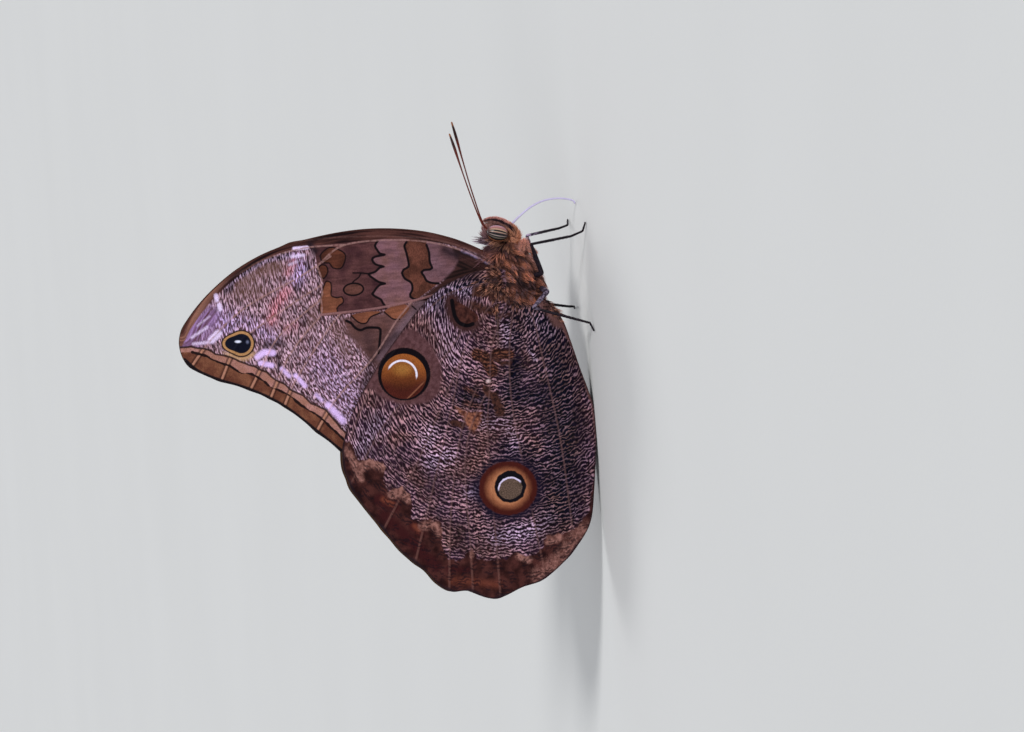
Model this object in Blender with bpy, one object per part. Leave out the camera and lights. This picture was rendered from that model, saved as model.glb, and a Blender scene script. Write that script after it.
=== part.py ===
"""A Catoblepia soranus butterfly at rest, its wings closed over its back, modelled life size.

The head points along +X and +Y is the animal's left. Sizes are in millimetres and become metres
as each mesh is made. The wings stand in planes nearly parallel to XZ, the two forewings inside
the two hindwings, and the walking legs stand on the plane Z = 0.
"""

import math

import bmesh
import bpy
import numpy as np
from mathutils import Vector
from mathutils.geometry import delaunay_2d_cdt

# Driving dimensions, in millimetres
TO_METRES = 0.001
GAP = 0.3
WING_THICKNESS = 0.5
VEIN_HEIGHT = 0.2
VEIN_HALF_WIDTH = 0.45
OUTLINE_STEP = 2.4
VEIN_STEP = 4.0
WING_GRID = 6.0
FOREWING_OFFSET = 0.43
FOREWING_ROOT = (14.0, 13.5)
ROOT_RISE = 0.9
ROOT_REACH = 5.0
MARGIN_FLARE = 0.45
FLARE_REACH = 58.0
WING_STEP = 1.1
ABDOMEN_BULGE = 1.45
BULGE_REACH = 3.2
CURVED_GRID = 1.9
ROW_SHARE = 0.87
GRID_CLEARANCE = 0.45
CURVED_REACH = (1.5, 1.7)
BULGE_ENDS = (9.5, 5.5)
EYE_SIZE = (1.2, 1.1, 1.72)
EYE_CENTRE = (19.0, 1.35, 12.5)
HEAD_SIZE = (1.55, 1.5, 2.3)
HEAD_CENTRE = (18.95, 0.0, 12.4)
CORNER = 0.8
CORNER_SHARE = 0.45
PROBOSCIS_STEP = 0.8
ANTENNA_STEP = 1.6
PALP_STEP = 0.6
BODY_SIDES = 20
BODY_STEP = 1.7
LIMB_SIDES = 8

# Body sections: place along X, height Z, half depth, half width
THORAX = (
    (17.4, 12.0, 1.5, 1.2), (16.6, 11.6, 2.6, 2.1), (15.0, 11.2, 3.5, 2.8), (12.3, 10.3, 4.0, 3.1),
    (10.2, 9.0, 3.8, 3.0), (8.7, 7.8, 2.9, 2.5), (7.8, 6.9, 1.6, 1.5),
)
ABDOMEN = (
    (9.0, 7.8, 1.0, 1.0), (8.0, 7.3, 1.4, 1.35), (6.3, 6.6, 1.8, 1.75), (2.2, 5.5, 2.2, 2.15),
    (-2.5, 4.5, 2.25, 2.2), (-7.2, 3.7, 2.1, 2.1), (-11.6, 3.1, 1.7, 1.7), (-14.6, 2.7, 1.1, 1.1),
    (-16.0, 2.5, 0.5, 0.5),
)

# Wing outlines in X and Z: along the costa, round the apex, down the outer margin and back
FOREWING = (
    (14.6, 12.9), (16.4, 14.6), (17.8, 16.9), (19.2, 20.0), (20.5, 24.3), (21.3, 29.6), (21.4, 35.0),
    (20.7, 41.2), (19.3, 47.4), (17.0, 52.6), (13.8, 57.1), (10.5, 60.4), (7.8, 62.1), (5.8, 62.6),
    (3.5, 62.0), (1.7, 60.2), (0.1, 57.2), (-1.9, 52.2), (-4.9, 47.2), (-9.6, 42.0), (-13.2, 38.0),
    (-15.5, 34.2), (-14.7, 30.8), (-8.4, 26.6), (0.4, 21.3), (7.6, 16.1), (11.2, 12.0),
)
HINDWING = (
    (12.6, 10.6), (13.8, 13.0), (13.7, 15.8), (13.1, 18.4), (11.4, 22.3), (8.3, 26.0), (5.3, 28.7),
    (1.5, 31.9), (-2.8, 35.0), (-6.5, 37.2), (-9.6, 38.5), (-12.0, 39.2), (-14.8, 39.1), (-18.2, 38.1),
    (-21.8, 35.9), (-25.4, 33.3), (-28.4, 31.2), (-31.2, 28.1), (-33.6, 26.2), (-34.9, 24.1),
    (-35.1, 21.3), (-36.5, 18.2), (-36.2, 15.8), (-35.2, 13.2), (-34.4, 10.2), (-32.3, 7.0),
    (-28.6, 3.4), (-25.6, 1.7), (-21.2, 0.9), (-16.4, 0.4), (-12.8, 0.0), (-8.6, 0.0), (-5.6, 0.7),
    (-2.6, 1.6), (1.6, 2.7), (5.0, 3.7), (7.6, 5.3), (9.8, 7.4),
)

# Wing veins in X and Z, each from the wing's root outwards
FOREWING_VEINS = (
    ((13.9, 12.6), (16.9, 16.9), (19.0, 22.8), (20.0, 30.0), (20.4, 37.5), (20.2, 44.3)),
    ((13.6, 12.9), (17.0, 18.4), (19.1, 26.0), (19.2, 35.9), (16.3, 40.6)),
    ((19.2, 35.9), (19.1, 43.0), (17.4, 50.0), (13.6, 56.3), (8.0, 61.4)),
    ((17.6, 38.4), (14.9, 43.3), (10.9, 51.9), (6.6, 57.4), (2.0, 61.4)),
    ((16.3, 40.6), (13.5, 40.2), (11.8, 43.1), (6.9, 51.6), (4.2, 54.4), (-0.8, 57.0)),
    ((13.5, 40.2), (11.3, 40.4), (9.0, 43.5), (5.8, 47.5), (1.7, 50.2), (-2.6, 52.8)),
    ((11.3, 40.4), (8.8, 40.6), (6.5, 42.9), (2.4, 46.3), (-4.6, 50.0)),
    ((8.8, 37.6), (5.1, 40.8), (-0.9, 45.3), (-6.0, 48.0)),
    ((9.7, 26.5), (7.0, 29.1), (1.6, 33.2), (-4.2, 39.3), (-9.6, 43.2)),
    ((12.8, 12.2), (11.4, 18.9), (9.9, 26.0), (9.1, 32.4), (8.8, 40.6)),
    ((11.9, 12.4), (8.1, 22.2), (1.0, 28.9), (-7.8, 34.2), (-13.0, 39.4)),
)
HINDWING_VEINS = (
    ((11.8, 11.8), (11.2, 18.4), (9.0, 23.4), (1.9, 30.2), (-5.4, 35.4), (-12.0, 38.4), (-15.2, 40.0)),
    ((11.4, 16.9), (7.5, 17.9), (3.4, 20.3), (-1.9, 25.0), (-7.6, 31.4), (-12.4, 35.0), (-18.4, 39.0)),
    ((9.9, 12.6), (7.3, 15.5), (2.9, 18.6), (-4.5, 22.3), (-15.9, 28.4), (-25.6, 34.4)),
    ((2.9, 18.6), (-1.2, 20.3), (-5.7, 21.5), (-13.2, 23.9), (-20.7, 26.3), (-30.8, 29.6)),
    ((-4.4, 17.9), (-10.4, 20.6), (-17.9, 22.4), (-25.4, 23.6), (-36.0, 24.6)),
    ((-5.3, 16.5), (-9.8, 19.0), (-14.3, 20.3), (-19.6, 20.7), (-28.8, 20.7), (-36.6, 20.9)),
    ((9.4, 11.7), (2.4, 14.8), (-4.4, 15.8), (-10.0, 16.6), (-16.9, 16.8), (-28.0, 16.7), (-37.6, 16.7)),
    ((9.0, 10.9), (2.1, 12.2), (-6.4, 12.6), (-16.5, 11.6), (-27.0, 10.4), (-35.6, 9.2)),
    ((8.6, 9.4), (4.8, 8.2), (0.8, 7.6), (-10.1, 6.0), (-19.4, 5.2), (-31.6, 4.6)),
)

# Limbs on the left side: joint places in X, Y and Z, and the radius at each
RADII_WALKING = (0.4, 0.42, 0.34, 0.27, 0.25, 0.24)
RADII_BRUSH = (0.36, 0.38, 0.3)
FORELEG = ((15.0, 1.4, 9.6), (17.4, 1.8, 8.8), (15.6, 1.2, 7.0))
MIDLEG_LEFT = (
    (12.6, 1.6, 7.6), (13.0, 2.5, 6.4), (18.5, 4.2, 7.5), (19.3, 7.3, 2.0), (19.7, 8.3, 0.5), (20.6, 10.2, 0.2),
)
MIDLEG_RIGHT = (
    (12.2, 1.6, 7.6), (12.5, 2.5, 6.5), (17.0, 4.2, 8.0), (17.7, 7.3, 2.2), (18.3, 8.3, 0.5), (19.6, 10.2, 0.2),
)
HINDLEG_LEFT = (
    (10.4, 1.6, 6.9), (9.7, 2.8, 5.7), (8.4, 5.2, 8.0), (7.2, 7.7, 1.6), (7.1, 8.5, 0.5), (6.8, 10.2, 0.2),
)
HINDLEG_RIGHT = (
    (10.4, 1.6, 6.9), (9.6, 2.8, 5.9), (7.3, 5.2, 8.6), (4.8, 7.7, 1.8), (4.3, 8.5, 0.5), (3.0, 10.2, 0.2),
)
PALP = ((18.4, 0.8, 10.9), (18.1, 1.0, 10.0), (18.8, 1.1, 9.75), (19.75, 1.1, 10.25), (20.6, 1.05, 11.1),
        (21.1, 0.95, 12.0), (21.35, 0.85, 12.8), (21.4, 0.75, 13.6), (21.25, 0.65, 14.4))
PALP_RADII = (0.4, 0.45, 0.5, 0.52, 0.5, 0.47, 0.44, 0.36, 0.16)
PALP_FLATNESS = 0.75
ANTENNA_RIGHT = (
    (19.5, 0.5, 13.8), (20.9, 0.85, 14.75), (25.8, 2.2, 16.2), (30.5, 3.8, 17.4), (34.2, 5.1, 18.3),
    (36.5, 5.9, 18.9),
)
ANTENNA_LEFT = (
    (19.5, 0.5, 13.8), (20.9, 0.85, 14.7), (24.9, 2.2, 15.8), (29.4, 3.8, 16.8), (32.9, 5.1, 17.5),
    (35.1, 5.9, 18.0),
)
ANTENNA_RADII = (0.3, 0.25, 0.25, 0.25, 0.36, 0.14)
PROBOSCIS = ((19.5, 0.0, 11.2), (20.3, 0.0, 10.3), (21.5, 0.0, 8.9), (22.8, 0.0, 7.0), (23.6, 0.0, 4.9),
             (23.75, 0.0, 2.6), (23.3, 0.0, 0.6), (22.7, 0.0, 0.2))
PROBOSCIS_RADII = (0.28, 0.26, 0.26, 0.25, 0.25, 0.25, 0.25, 0.24)


# Curves
def smooth(points, step, closed=False):
    """Points about a step apart on the Catmull-Rom curve through the given ones."""
    knots = np.array(points, float)
    if closed:
        knots = np.vstack([knots[-1:], knots, knots[:2]])
    else:
        knots = np.vstack([2 * knots[0] - knots[1], knots, 2 * knots[-1] - knots[-2]])
    curve = []
    for a, b, c, d in zip(knots, knots[1:], knots[2:], knots[3:]):
        count = max(1, round(float(np.linalg.norm((c - b)[:2])) / step))
        for t in np.arange(count) / count:
            bend = (2 * a - 5 * b + 4 * c - d) * t**2 + (3 * b - a - 3 * c + d) * t**3
            curve.append(b + 0.5 * ((c - a) * t + bend))
    if not closed:
        curve.append(knots[-2])
    return np.array(curve)


def rounded(points):
    """The straight runs between the points, with each corner turned into a short arc. Each point may
    carry further values, such as a radius, after its place."""
    knots = np.array(points, float)
    path = [knots[0]]
    for before, corner, after in zip(knots, knots[1:], knots[2:]):
        ends = []
        for other in (before, after):
            length = np.linalg.norm((other - corner)[:3])
            ends.append(corner + (other - corner) * min(CORNER, CORNER_SHARE * length) / length)
        for t in (0, 0.25, 0.5, 0.75, 1):
            path.append((1 - t) ** 2 * ends[0] + 2 * t * (1 - t) * corner + t**2 * ends[1])
    path.append(knots[-1])
    return np.array(path)


def distance_to(line, x, z):
    """How far the point lies from a line through points in X and Z."""
    point = np.array((x, z))
    starts = line[:-1]
    runs = line[1:] - starts
    along = np.clip(((point - starts) * runs).sum(1) / (runs**2).sum(1), 0, 1)
    return float(np.linalg.norm(starts + runs * along[:, None] - point, axis=1).min())


def smoothstep(low, high, value):
    t = min(1.0, max(0.0, (value - low) / (high - low)))
    return t * t * (3 - 2 * t)


# Meshes and objects
def material(name, colour, roughness, metallic=0.0):
    made = bpy.data.materials.new(name)
    made.use_nodes = True
    shader = made.node_tree.nodes["Principled BSDF"]
    shader.inputs["Base Color"].default_value = (*colour, 1.0)
    shader.inputs["Roughness"].default_value = roughness
    shader.inputs["Metallic"].default_value = metallic
    return made


def solid(name, points, faces, origin=(0, 0, 0), finish=None):
    """An object whose mesh goes through these points, with its own origin at the given place."""
    middle = np.array(origin, float)
    mesh = bpy.data.meshes.new(name)
    mesh.from_pydata([tuple(p) for p in (np.array(points) - middle) * TO_METRES], [], faces)
    shape = bmesh.new()
    shape.from_mesh(mesh)
    bmesh.ops.recalc_face_normals(shape, faces=shape.faces)
    shape.to_mesh(mesh)
    shape.free()
    mesh.shade_smooth()
    made = bpy.data.objects.new(name, mesh)
    made.location = Vector(middle * TO_METRES)
    bpy.context.scene.collection.objects.link(made)
    if finish:
        mesh.materials.append(finish)
    return made


def rings_to_faces(rings, sides):
    """The faces of a closed tube whose rings follow one another in the list of points."""
    faces = [tuple(range(sides)), tuple(range((rings - 1) * sides, rings * sides))]
    for ring in range(rings - 1):
        for side in range(sides):
            a = ring * sides + side
            b = ring * sides + (side + 1) % sides
            faces.append((a, b, b + sides, a + sides))
    return faces


def tube(name, path, radii, finish, sides=LIMB_SIDES, flatness=1.0, lowest=None):
    """A closed tube along the path. flatness is its width in Y over its depth, and lowest is the
    level that its underside is flattened to."""
    path = np.array(path)
    along = np.gradient(path, axis=0)
    along /= np.linalg.norm(along, axis=1)[:, None]
    across = np.cross(along[0], (0.0, 1.0, 0.0))
    points = []
    for centre, direction, radius in zip(path, along, radii):
        across -= direction * across.dot(direction)
        across /= np.linalg.norm(across)
        aside = np.cross(direction, across)
        for angle in np.arange(sides) * 2 * math.pi / sides:
            point = centre + radius * (math.cos(angle) * across + flatness * math.sin(angle) * aside)
            if lowest is not None:
                point[2] = max(point[2], lowest)
            points.append(point)
    return solid(name, points, rings_to_faces(len(path), sides), path[0], finish)


def loft(name, sections, finish, grow=0.0):
    """A closed body through elliptical sections square to its middle line, which lies in XZ."""
    rows = smooth(sections, BODY_STEP)
    line = rows[:, :2]
    along = np.gradient(line, axis=0)
    along /= np.linalg.norm(along, axis=1)[:, None]
    line = line.copy()
    line[0] -= along[0] * grow
    line[-1] += along[-1] * grow
    points = []
    for (x, z), (run_x, run_z), (depth, width) in zip(line, along, rows[:, 2:] + grow):
        for angle in np.arange(BODY_SIDES) * 2 * math.pi / BODY_SIDES:
            up = depth * math.cos(angle)
            points.append((x + run_z * up, width * math.sin(angle), z - run_x * up))
    return solid(name, points, rings_to_faces(len(line), BODY_SIDES), (line[0][0], 0, line[0][1]), finish)


def ellipsoid(name, centre, size, finish, grow=0.0):
    shape = bmesh.new()
    bmesh.ops.create_uvsphere(shape, u_segments=18, v_segments=10, radius=1.0)
    points = [np.array(centre) + np.array(v.co) * (np.array(size) + grow) for v in shape.verts]
    faces = [tuple(v.index for v in face.verts) for face in shape.faces]
    shape.free()
    return solid(name, points, faces, centre, finish)


def as_cutter(piece):
    piece.hide_render = True
    piece.display_type = "WIRE"
    return piece


def cut(piece, *cutters):
    """Takes the cutters away from the piece and keeps the largest closed surface that is left."""
    for cutter in cutters:
        modifier = piece.modifiers.new("Cut", "BOOLEAN")
        modifier.operation = "DIFFERENCE"
        modifier.object = cutter
    graph = bpy.context.evaluated_depsgraph_get()
    mesh = bpy.data.meshes.new_from_object(piece.evaluated_get(graph))
    piece.modifiers.clear()
    piece.data = mesh
    shape = bmesh.new()
    shape.from_mesh(mesh)
    unseen = set(shape.faces)
    groups = []
    while unseen:
        group = [unseen.pop()]
        for face in group:
            for edge in face.edges:
                for other in edge.link_faces:
                    if other in unseen:
                        unseen.remove(other)
                        group.append(other)
        groups.append(group)
    groups.sort(key=len)
    for group in groups[:-1]:
        bmesh.ops.delete(shape, geom=group, context="FACES")
    shape.to_mesh(mesh)
    shape.free()
    return piece


# Wings
ABDOMEN_LINE = np.array([row[:2] for row in ABDOMEN])


def forewing_side(x, z):
    """How far the middle of a forewing stands from the plane between the wings."""
    from_root = math.hypot(x - FOREWING_ROOT[0], z - FOREWING_ROOT[1])
    return (
        FOREWING_OFFSET
        + ROOT_RISE * math.exp(-((from_root / ROOT_REACH) ** 2))
        + MARGIN_FLARE * (from_root / FLARE_REACH) ** 4
    )


def hindwing_side(x, z):
    """The same for a hindwing, which lies outside the forewing and swells round the abdomen."""
    bulge = ABDOMEN_BULGE * math.exp(-((distance_to(ABDOMEN_LINE, x, z) / BULGE_REACH) ** 2))
    return forewing_side(x, z) + WING_STEP + bulge * (1 - smoothstep(BULGE_ENDS[1], BULGE_ENDS[0], x))


def inside(outline, x, z):
    crossings = 0
    for (ax, az), (bx, bz) in zip(outline, np.roll(outline, -1, axis=0)):
        if (az > z) != (bz > z) and x < ax + (z - az) * (bx - ax) / (bz - az):
            crossings += 1
    return crossings % 2 == 1


def curved(x, z):
    """Whether the wings bend here, round the abdomen or towards their roots."""
    from_root = math.hypot(x - FOREWING_ROOT[0], z - FOREWING_ROOT[1])
    near_abdomen = distance_to(ABDOMEN_LINE, x, z) < CURVED_REACH[0] * BULGE_REACH
    return near_abdomen or from_root < CURVED_REACH[1] * ROOT_REACH


def fill_points(outline, lines):
    """A grid inside the outline, clear of it and of the veins, and closer together where it bends."""
    borders = [np.vstack([outline, outline[:1]]), *lines]
    points = []
    for spacing, near_body in ((WING_GRID, False), (CURVED_GRID, True)):
        lowest, highest = outline.min(0), outline.max(0)
        for row, z in enumerate(np.arange(lowest[1], highest[1], spacing * ROW_SHARE)):
            for x in np.arange(lowest[0] + spacing / 2 * (row % 2), highest[0], spacing):
                if curved(x, z) != near_body:
                    continue
                clear = min(distance_to(line, x, z) for line in borders) > GRID_CLEARANCE * spacing
                if clear and inside(outline, x, z):
                    points.append((x, z))
    return points


def only_used(points, faces):
    """The points that the faces use, and the faces with their new numbers."""
    used = sorted({v for face in faces for v in face})
    number = {old: new for new, old in enumerate(used)}
    return [points[v] for v in used], [tuple(number[v] for v in face) for face in faces]


def wing(name, outline, veins, side, root, mirrored, finish):
    """A membrane with its veins raised in the outer face, and the same triangles on both faces."""
    edge = smooth(outline, OUTLINE_STEP, closed=True)
    edge[:, 1] = np.maximum(edge[:, 1], 0.0)
    lines = [smooth(vein, VEIN_STEP) for vein in veins]
    points = [tuple(p) for p in edge]
    edges = []
    for line in lines:
        along = np.gradient(line, axis=0)
        along /= np.linalg.norm(along, axis=1)[:, None]
        across = np.column_stack([-along[:, 1], along[:, 0]]) * VEIN_HALF_WIDTH
        for strip in (line + across, line, line - across):
            edges += [(len(points) + i, len(points) + i + 1) for i in range(len(strip) - 1)]
            points += [tuple(p) for p in strip]
    points += fill_points(edge, lines)
    flat, _, triangles, _, _, outlines = delaunay_2d_cdt(
        [Vector(p) for p in points], edges, [list(range(len(edge)))], 1, 0.02, True
    )
    triangles = [triangle for triangle, outline in zip(triangles, outlines) if outline]
    flat, triangles = only_used(flat, triangles)
    outer, inner = [], []
    for x, z in flat:
        middle = side(x, z)
        nearest = min(distance_to(line, x, z) for line in lines)
        ridge = VEIN_HEIGHT * max(0.0, 1 - nearest / VEIN_HALF_WIDTH)
        outer.append((x, middle + WING_THICKNESS / 2 + ridge, z))
        inner.append((x, middle - WING_THICKNESS / 2, z))
    used = {}
    for triangle in triangles:
        for a, b in zip(triangle, (*triangle[1:], triangle[0])):
            used[(a, b)] = True
    count = len(flat)
    faces = [tuple(triangle) for triangle in triangles]
    faces += [tuple(v + count for v in reversed(triangle)) for triangle in triangles]
    for a, b in used:
        if (b, a) not in used:
            faces.append((b, a, a + count, b + count))
    turn = np.array((1, -1 if mirrored else 1, 1))
    return solid(name, np.array(outer + inner) * turn, faces, np.array(root) * turn, finish)


# Limbs
def leg(name, joints, radii, mirrored, finish):
    """A jointed leg, thick in the femur and thin in the tarsus, whose foot lies flat on the floor."""
    rows = rounded([(*joint, radius) for joint, radius in zip(joints, radii)])
    path = rows[:, :3] * (1, -1 if mirrored else 1, 1)
    return tube(name, path, rows[:, 3], finish, lowest=0.0)


def feeler(name, points, radii, step, mirrored, finish, flatness=1.0, lowest=None):
    """A smoothly bent tube: an antenna, a palp or the proboscis."""
    rows = smooth([(*point, radius) for point, radius in zip(points, radii)], step)
    path = rows[:, :3] * (1, -1 if mirrored else 1, 1)
    return tube(name, path, rows[:, 3], finish, flatness=flatness, lowest=lowest)


# Assembly
def build():
    for old in list(bpy.data.objects):
        bpy.data.objects.remove(old)

    fur = material("thorax_fur", (0.165, 0.062, 0.028), 0.85)
    head_scales = material("head_scales", (0.21, 0.10, 0.09), 0.8)
    abdomen_scales = material("abdomen_scales", (0.12, 0.07, 0.05), 0.85)
    fore_scales = material("forewing_scales", (0.125, 0.062, 0.043), 0.7)
    hind_scales = material("hindwing_scales", (0.085, 0.055, 0.062), 0.7)
    eye_glass = material("eye", (0.045, 0.025, 0.03), 0.2)
    palp_scales = material("palp_scales", (0.3, 0.13, 0.11), 0.8)
    antenna_shell = material("antenna_shell", (0.16, 0.045, 0.022), 0.5)
    leg_scales = material("leg_scales", (0.05, 0.035, 0.05), 0.6)
    tongue = material("proboscis_shell", (0.42, 0.35, 0.42), 0.4)

    thorax = loft("thorax", THORAX, fur)
    thorax_room = as_cutter(loft("thorax_room", THORAX, None, GAP))
    head = ellipsoid("head", HEAD_CENTRE, HEAD_SIZE, head_scales)
    head_room = as_cutter(ellipsoid("head_room", HEAD_CENTRE, HEAD_SIZE, None, GAP))
    cut(loft("abdomen", ABDOMEN, abdomen_scales), thorax_room)
    eye_rooms = []
    for name, sign in (("left", 1), ("right", -1)):
        place = (EYE_CENTRE[0], sign * EYE_CENTRE[1], EYE_CENTRE[2])
        ellipsoid(f"eye_{name}", place, EYE_SIZE, eye_glass)
        eye_rooms.append(as_cutter(ellipsoid(f"eye_room_{name}", place, EYE_SIZE, None, GAP)))

    cut(head, *eye_rooms, thorax_room)
    proboscis = feeler("proboscis", PROBOSCIS, PROBOSCIS_RADII, PROBOSCIS_STEP, False, tongue, lowest=0.0)
    cut(proboscis, head_room)
    sides = (("left", False, ANTENNA_LEFT, MIDLEG_LEFT, HINDLEG_LEFT),
             ("right", True, ANTENNA_RIGHT, MIDLEG_RIGHT, HINDLEG_RIGHT))
    for name, mirrored, antenna, midleg, hindleg in sides:
        rod = feeler(f"antenna_{name}", antenna, ANTENNA_RADII, ANTENNA_STEP, mirrored, antenna_shell)
        cut(rod, head_room)
        palp = feeler(f"palp_{name}", PALP, PALP_RADII, PALP_STEP, mirrored, palp_scales, PALP_FLATNESS)
        cut(palp, head_room, thorax_room, *eye_rooms)
        cut(leg(f"foreleg_{name}", FORELEG, RADII_BRUSH, mirrored, leg_scales), thorax_room)
        cut(leg(f"midleg_{name}", midleg, RADII_WALKING, mirrored, leg_scales), thorax_room)
        cut(leg(f"hindleg_{name}", hindleg, RADII_WALKING, mirrored, leg_scales), thorax_room)
        root = (FOREWING_ROOT[0], forewing_side(*FOREWING_ROOT), FOREWING_ROOT[1])
        forewing = wing(f"forewing_{name}", FOREWING, FOREWING_VEINS, forewing_side, root, mirrored, fore_scales)
        cut(forewing, thorax_room)
        root = (HINDWING[0][0], hindwing_side(*HINDWING[0]), HINDWING[0][1])
        hindwing = wing(f"hindwing_{name}", HINDWING, HINDWING_VEINS, hindwing_side, root, mirrored, hind_scales)
        cut(hindwing, thorax_room)


build()
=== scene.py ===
import math

import bmesh
import bpy
import numpy as np
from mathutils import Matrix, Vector
from mathutils.geometry import delaunay_2d_cdt
from mathutils.kdtree import KDTree


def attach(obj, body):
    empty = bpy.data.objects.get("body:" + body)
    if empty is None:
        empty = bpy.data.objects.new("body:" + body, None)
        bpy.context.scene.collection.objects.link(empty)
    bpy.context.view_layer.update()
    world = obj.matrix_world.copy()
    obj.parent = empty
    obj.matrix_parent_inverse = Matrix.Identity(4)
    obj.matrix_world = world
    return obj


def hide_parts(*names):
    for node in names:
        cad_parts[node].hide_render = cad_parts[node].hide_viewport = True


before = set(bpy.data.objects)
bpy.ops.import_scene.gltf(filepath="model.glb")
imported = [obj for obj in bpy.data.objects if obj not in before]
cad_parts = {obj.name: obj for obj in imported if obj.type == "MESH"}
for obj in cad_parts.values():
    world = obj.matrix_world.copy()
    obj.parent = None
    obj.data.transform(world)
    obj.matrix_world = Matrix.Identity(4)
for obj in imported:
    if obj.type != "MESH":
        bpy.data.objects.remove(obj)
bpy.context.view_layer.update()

collection = bpy.context.scene.collection

# The body is thorax, abdomen and head under one soft skin. It is cast in one piece: three lofts are
# melted together, the rings of the abdomen are pressed in, and the skin stays inside the solids by
# the depth of the fur. Places are in millimetres, with the head towards +X, until a mesh is made.
MM = 0.001
FUR_DEPTH = {"thorax": 0.45, "abdomen": 0.3, "head": 0.12}
THORAX = (
    (17.4, 12.0, 1.5, 1.2), (16.6, 11.6, 2.6, 2.1), (15.0, 11.2, 3.5, 2.8), (12.3, 10.3, 4.0, 3.1),
    (10.2, 9.0, 3.8, 3.0), (8.7, 7.8, 2.9, 2.5), (7.8, 6.9, 1.6, 1.5),
)
ABDOMEN = (
    (9.0, 7.8, 1.0, 1.0), (8.0, 7.3, 1.4, 1.35), (6.3, 6.6, 1.8, 1.75), (2.2, 5.5, 2.2, 2.15),
    (-2.5, 4.5, 2.25, 2.2), (-7.2, 3.7, 2.1, 2.1), (-11.6, 3.1, 1.7, 1.7), (-14.6, 2.7, 1.1, 1.1),
    (-16.0, 2.5, 0.5, 0.5),
)
HEAD_CENTRE = np.array((18.95, 0.0, 12.4))
HEAD_SIZE = np.array((1.55, 1.5, 2.3))
ABDOMEN_RINGS = 8
RING_STEP = 0.14
SKIN_GRAIN = 0.16


def curve_through(points, step, closed=False):
    """Points about a step apart on the smooth curve through the given ones."""
    knots = np.array(points, float)
    if closed:
        knots = np.vstack([knots[-1:], knots, knots[:2]])
    else:
        knots = np.vstack([2 * knots[0] - knots[1], knots, 2 * knots[-1] - knots[-2]])
    curve = []
    for a, b, c, d in zip(knots, knots[1:], knots[2:], knots[3:]):
        count = max(1, round(float(np.linalg.norm((c - b)[:3])) / step))
        for t in np.arange(count) / count:
            bend = (2 * a - 5 * b + 4 * c - d) * t**2 + (3 * b - a - 3 * c + d) * t**3
            curve.append(b + 0.5 * ((c - a) * t + bend))
    if not closed:
        curve.append(knots[-2])
    return np.array(curve)


def nearest(line, points):
    """How far each point lies from a line, and how far along the line its nearest place is."""
    best = np.full(len(points), np.inf)
    place = np.zeros(len(points))
    passed = 0.0
    for start, end in zip(np.array(line, float), np.array(line[1:], float)):
        run = end - start
        size = np.linalg.norm(run)
        share = np.clip((points - start) @ run / size**2, 0, 1)
        apart = np.linalg.norm(points - start - share[:, None] * run, axis=1)
        closer = apart < best
        best[closer] = apart[closer]
        place[closer] = passed + share[closer] * size
        passed += size
    return best, place


def steady(low, high, values):
    """0 below low and 1 above high, with a smooth step between."""
    t = np.clip((values - low) / (high - low), 0, 1)
    return t * t * (3 - 2 * t)


def piece(name, points, faces, *finishes):
    """A smooth-shaded mesh object through these points, which are in millimetres."""
    mesh = bpy.data.meshes.new(name)
    mesh.from_pydata([tuple(p) for p in np.array(points) * MM], [], faces)
    mesh.shade_smooth()
    for finish in finishes:
        mesh.materials.append(finish)
    made = bpy.data.objects.new(name, mesh)
    collection.objects.link(made)
    return made


def turn_outwards(mesh):
    shape = bmesh.new()
    shape.from_mesh(mesh)
    bmesh.ops.recalc_face_normals(shape, faces=shape.faces)
    shape.to_mesh(mesh)
    shape.free()


def tube_faces(rings, sides):
    """The faces of a closed tube whose rings follow one another in the list of points."""
    faces = [tuple(reversed(range(sides))), tuple(range((rings - 1) * sides, rings * sides))]
    for ring in range(rings - 1):
        for side in range(sides):
            a, b = ring * sides + side, ring * sides + (side + 1) % sides
            faces.append((a, b, b + sides, a + sides))
    return faces


def body_loft(sections, depth, sides=40):
    """The points and faces of an elliptical loft round a middle line in XZ, drawn in by a depth."""
    rows = curve_through(sections, 0.5)
    line = rows[:, :2]
    along = np.gradient(line, axis=0)
    along /= np.linalg.norm(along, axis=1)[:, None]
    points = []
    for (x, z), (run_x, run_z), sizes in zip(line, along, rows[:, 2:]):
        tall, wide = np.maximum(sizes - depth, 0.3 * sizes)
        for angle in np.arange(sides) * 2 * math.pi / sides:
            up = tall * math.cos(angle)
            points.append((x + run_z * up, wide * math.sin(angle), z - run_x * up))
    return points, tube_faces(len(line), sides)


def unit_ball(sides, rings):
    """The points and faces of a ball of radius 1. Its faces come in no fixed order, so they are sorted
    for each run to give the same mesh."""
    shape = bmesh.new()
    bmesh.ops.create_uvsphere(shape, u_segments=sides, v_segments=rings, radius=1.0)
    points = np.array([tuple(v.co) for v in shape.verts])
    faces = sorted(tuple(v.index for v in face.verts) for face in shape.faces)
    shape.free()
    return points, faces


def settled(made):
    """Turns an object's modifiers into plain mesh."""
    graph = bpy.context.evaluated_depsgraph_get()
    mesh = bpy.data.meshes.new_from_object(made.evaluated_get(graph))
    made.modifiers.clear()
    made.data = mesh
    return made


def points_of(made):
    """The places of a mesh's vertices, in millimetres."""
    flat = np.empty(len(made.data.vertices) * 3)
    made.data.vertices.foreach_get("co", flat)
    return flat.reshape(-1, 3) / MM


def move_points(made, points):
    made.data.vertices.foreach_set("co", (points * MM).ravel())
    made.data.update()


def normals_of(made):
    flat = np.empty(len(made.data.vertices) * 3)
    made.data.vertices.foreach_get("normal", flat)
    return flat.reshape(-1, 3)


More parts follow.
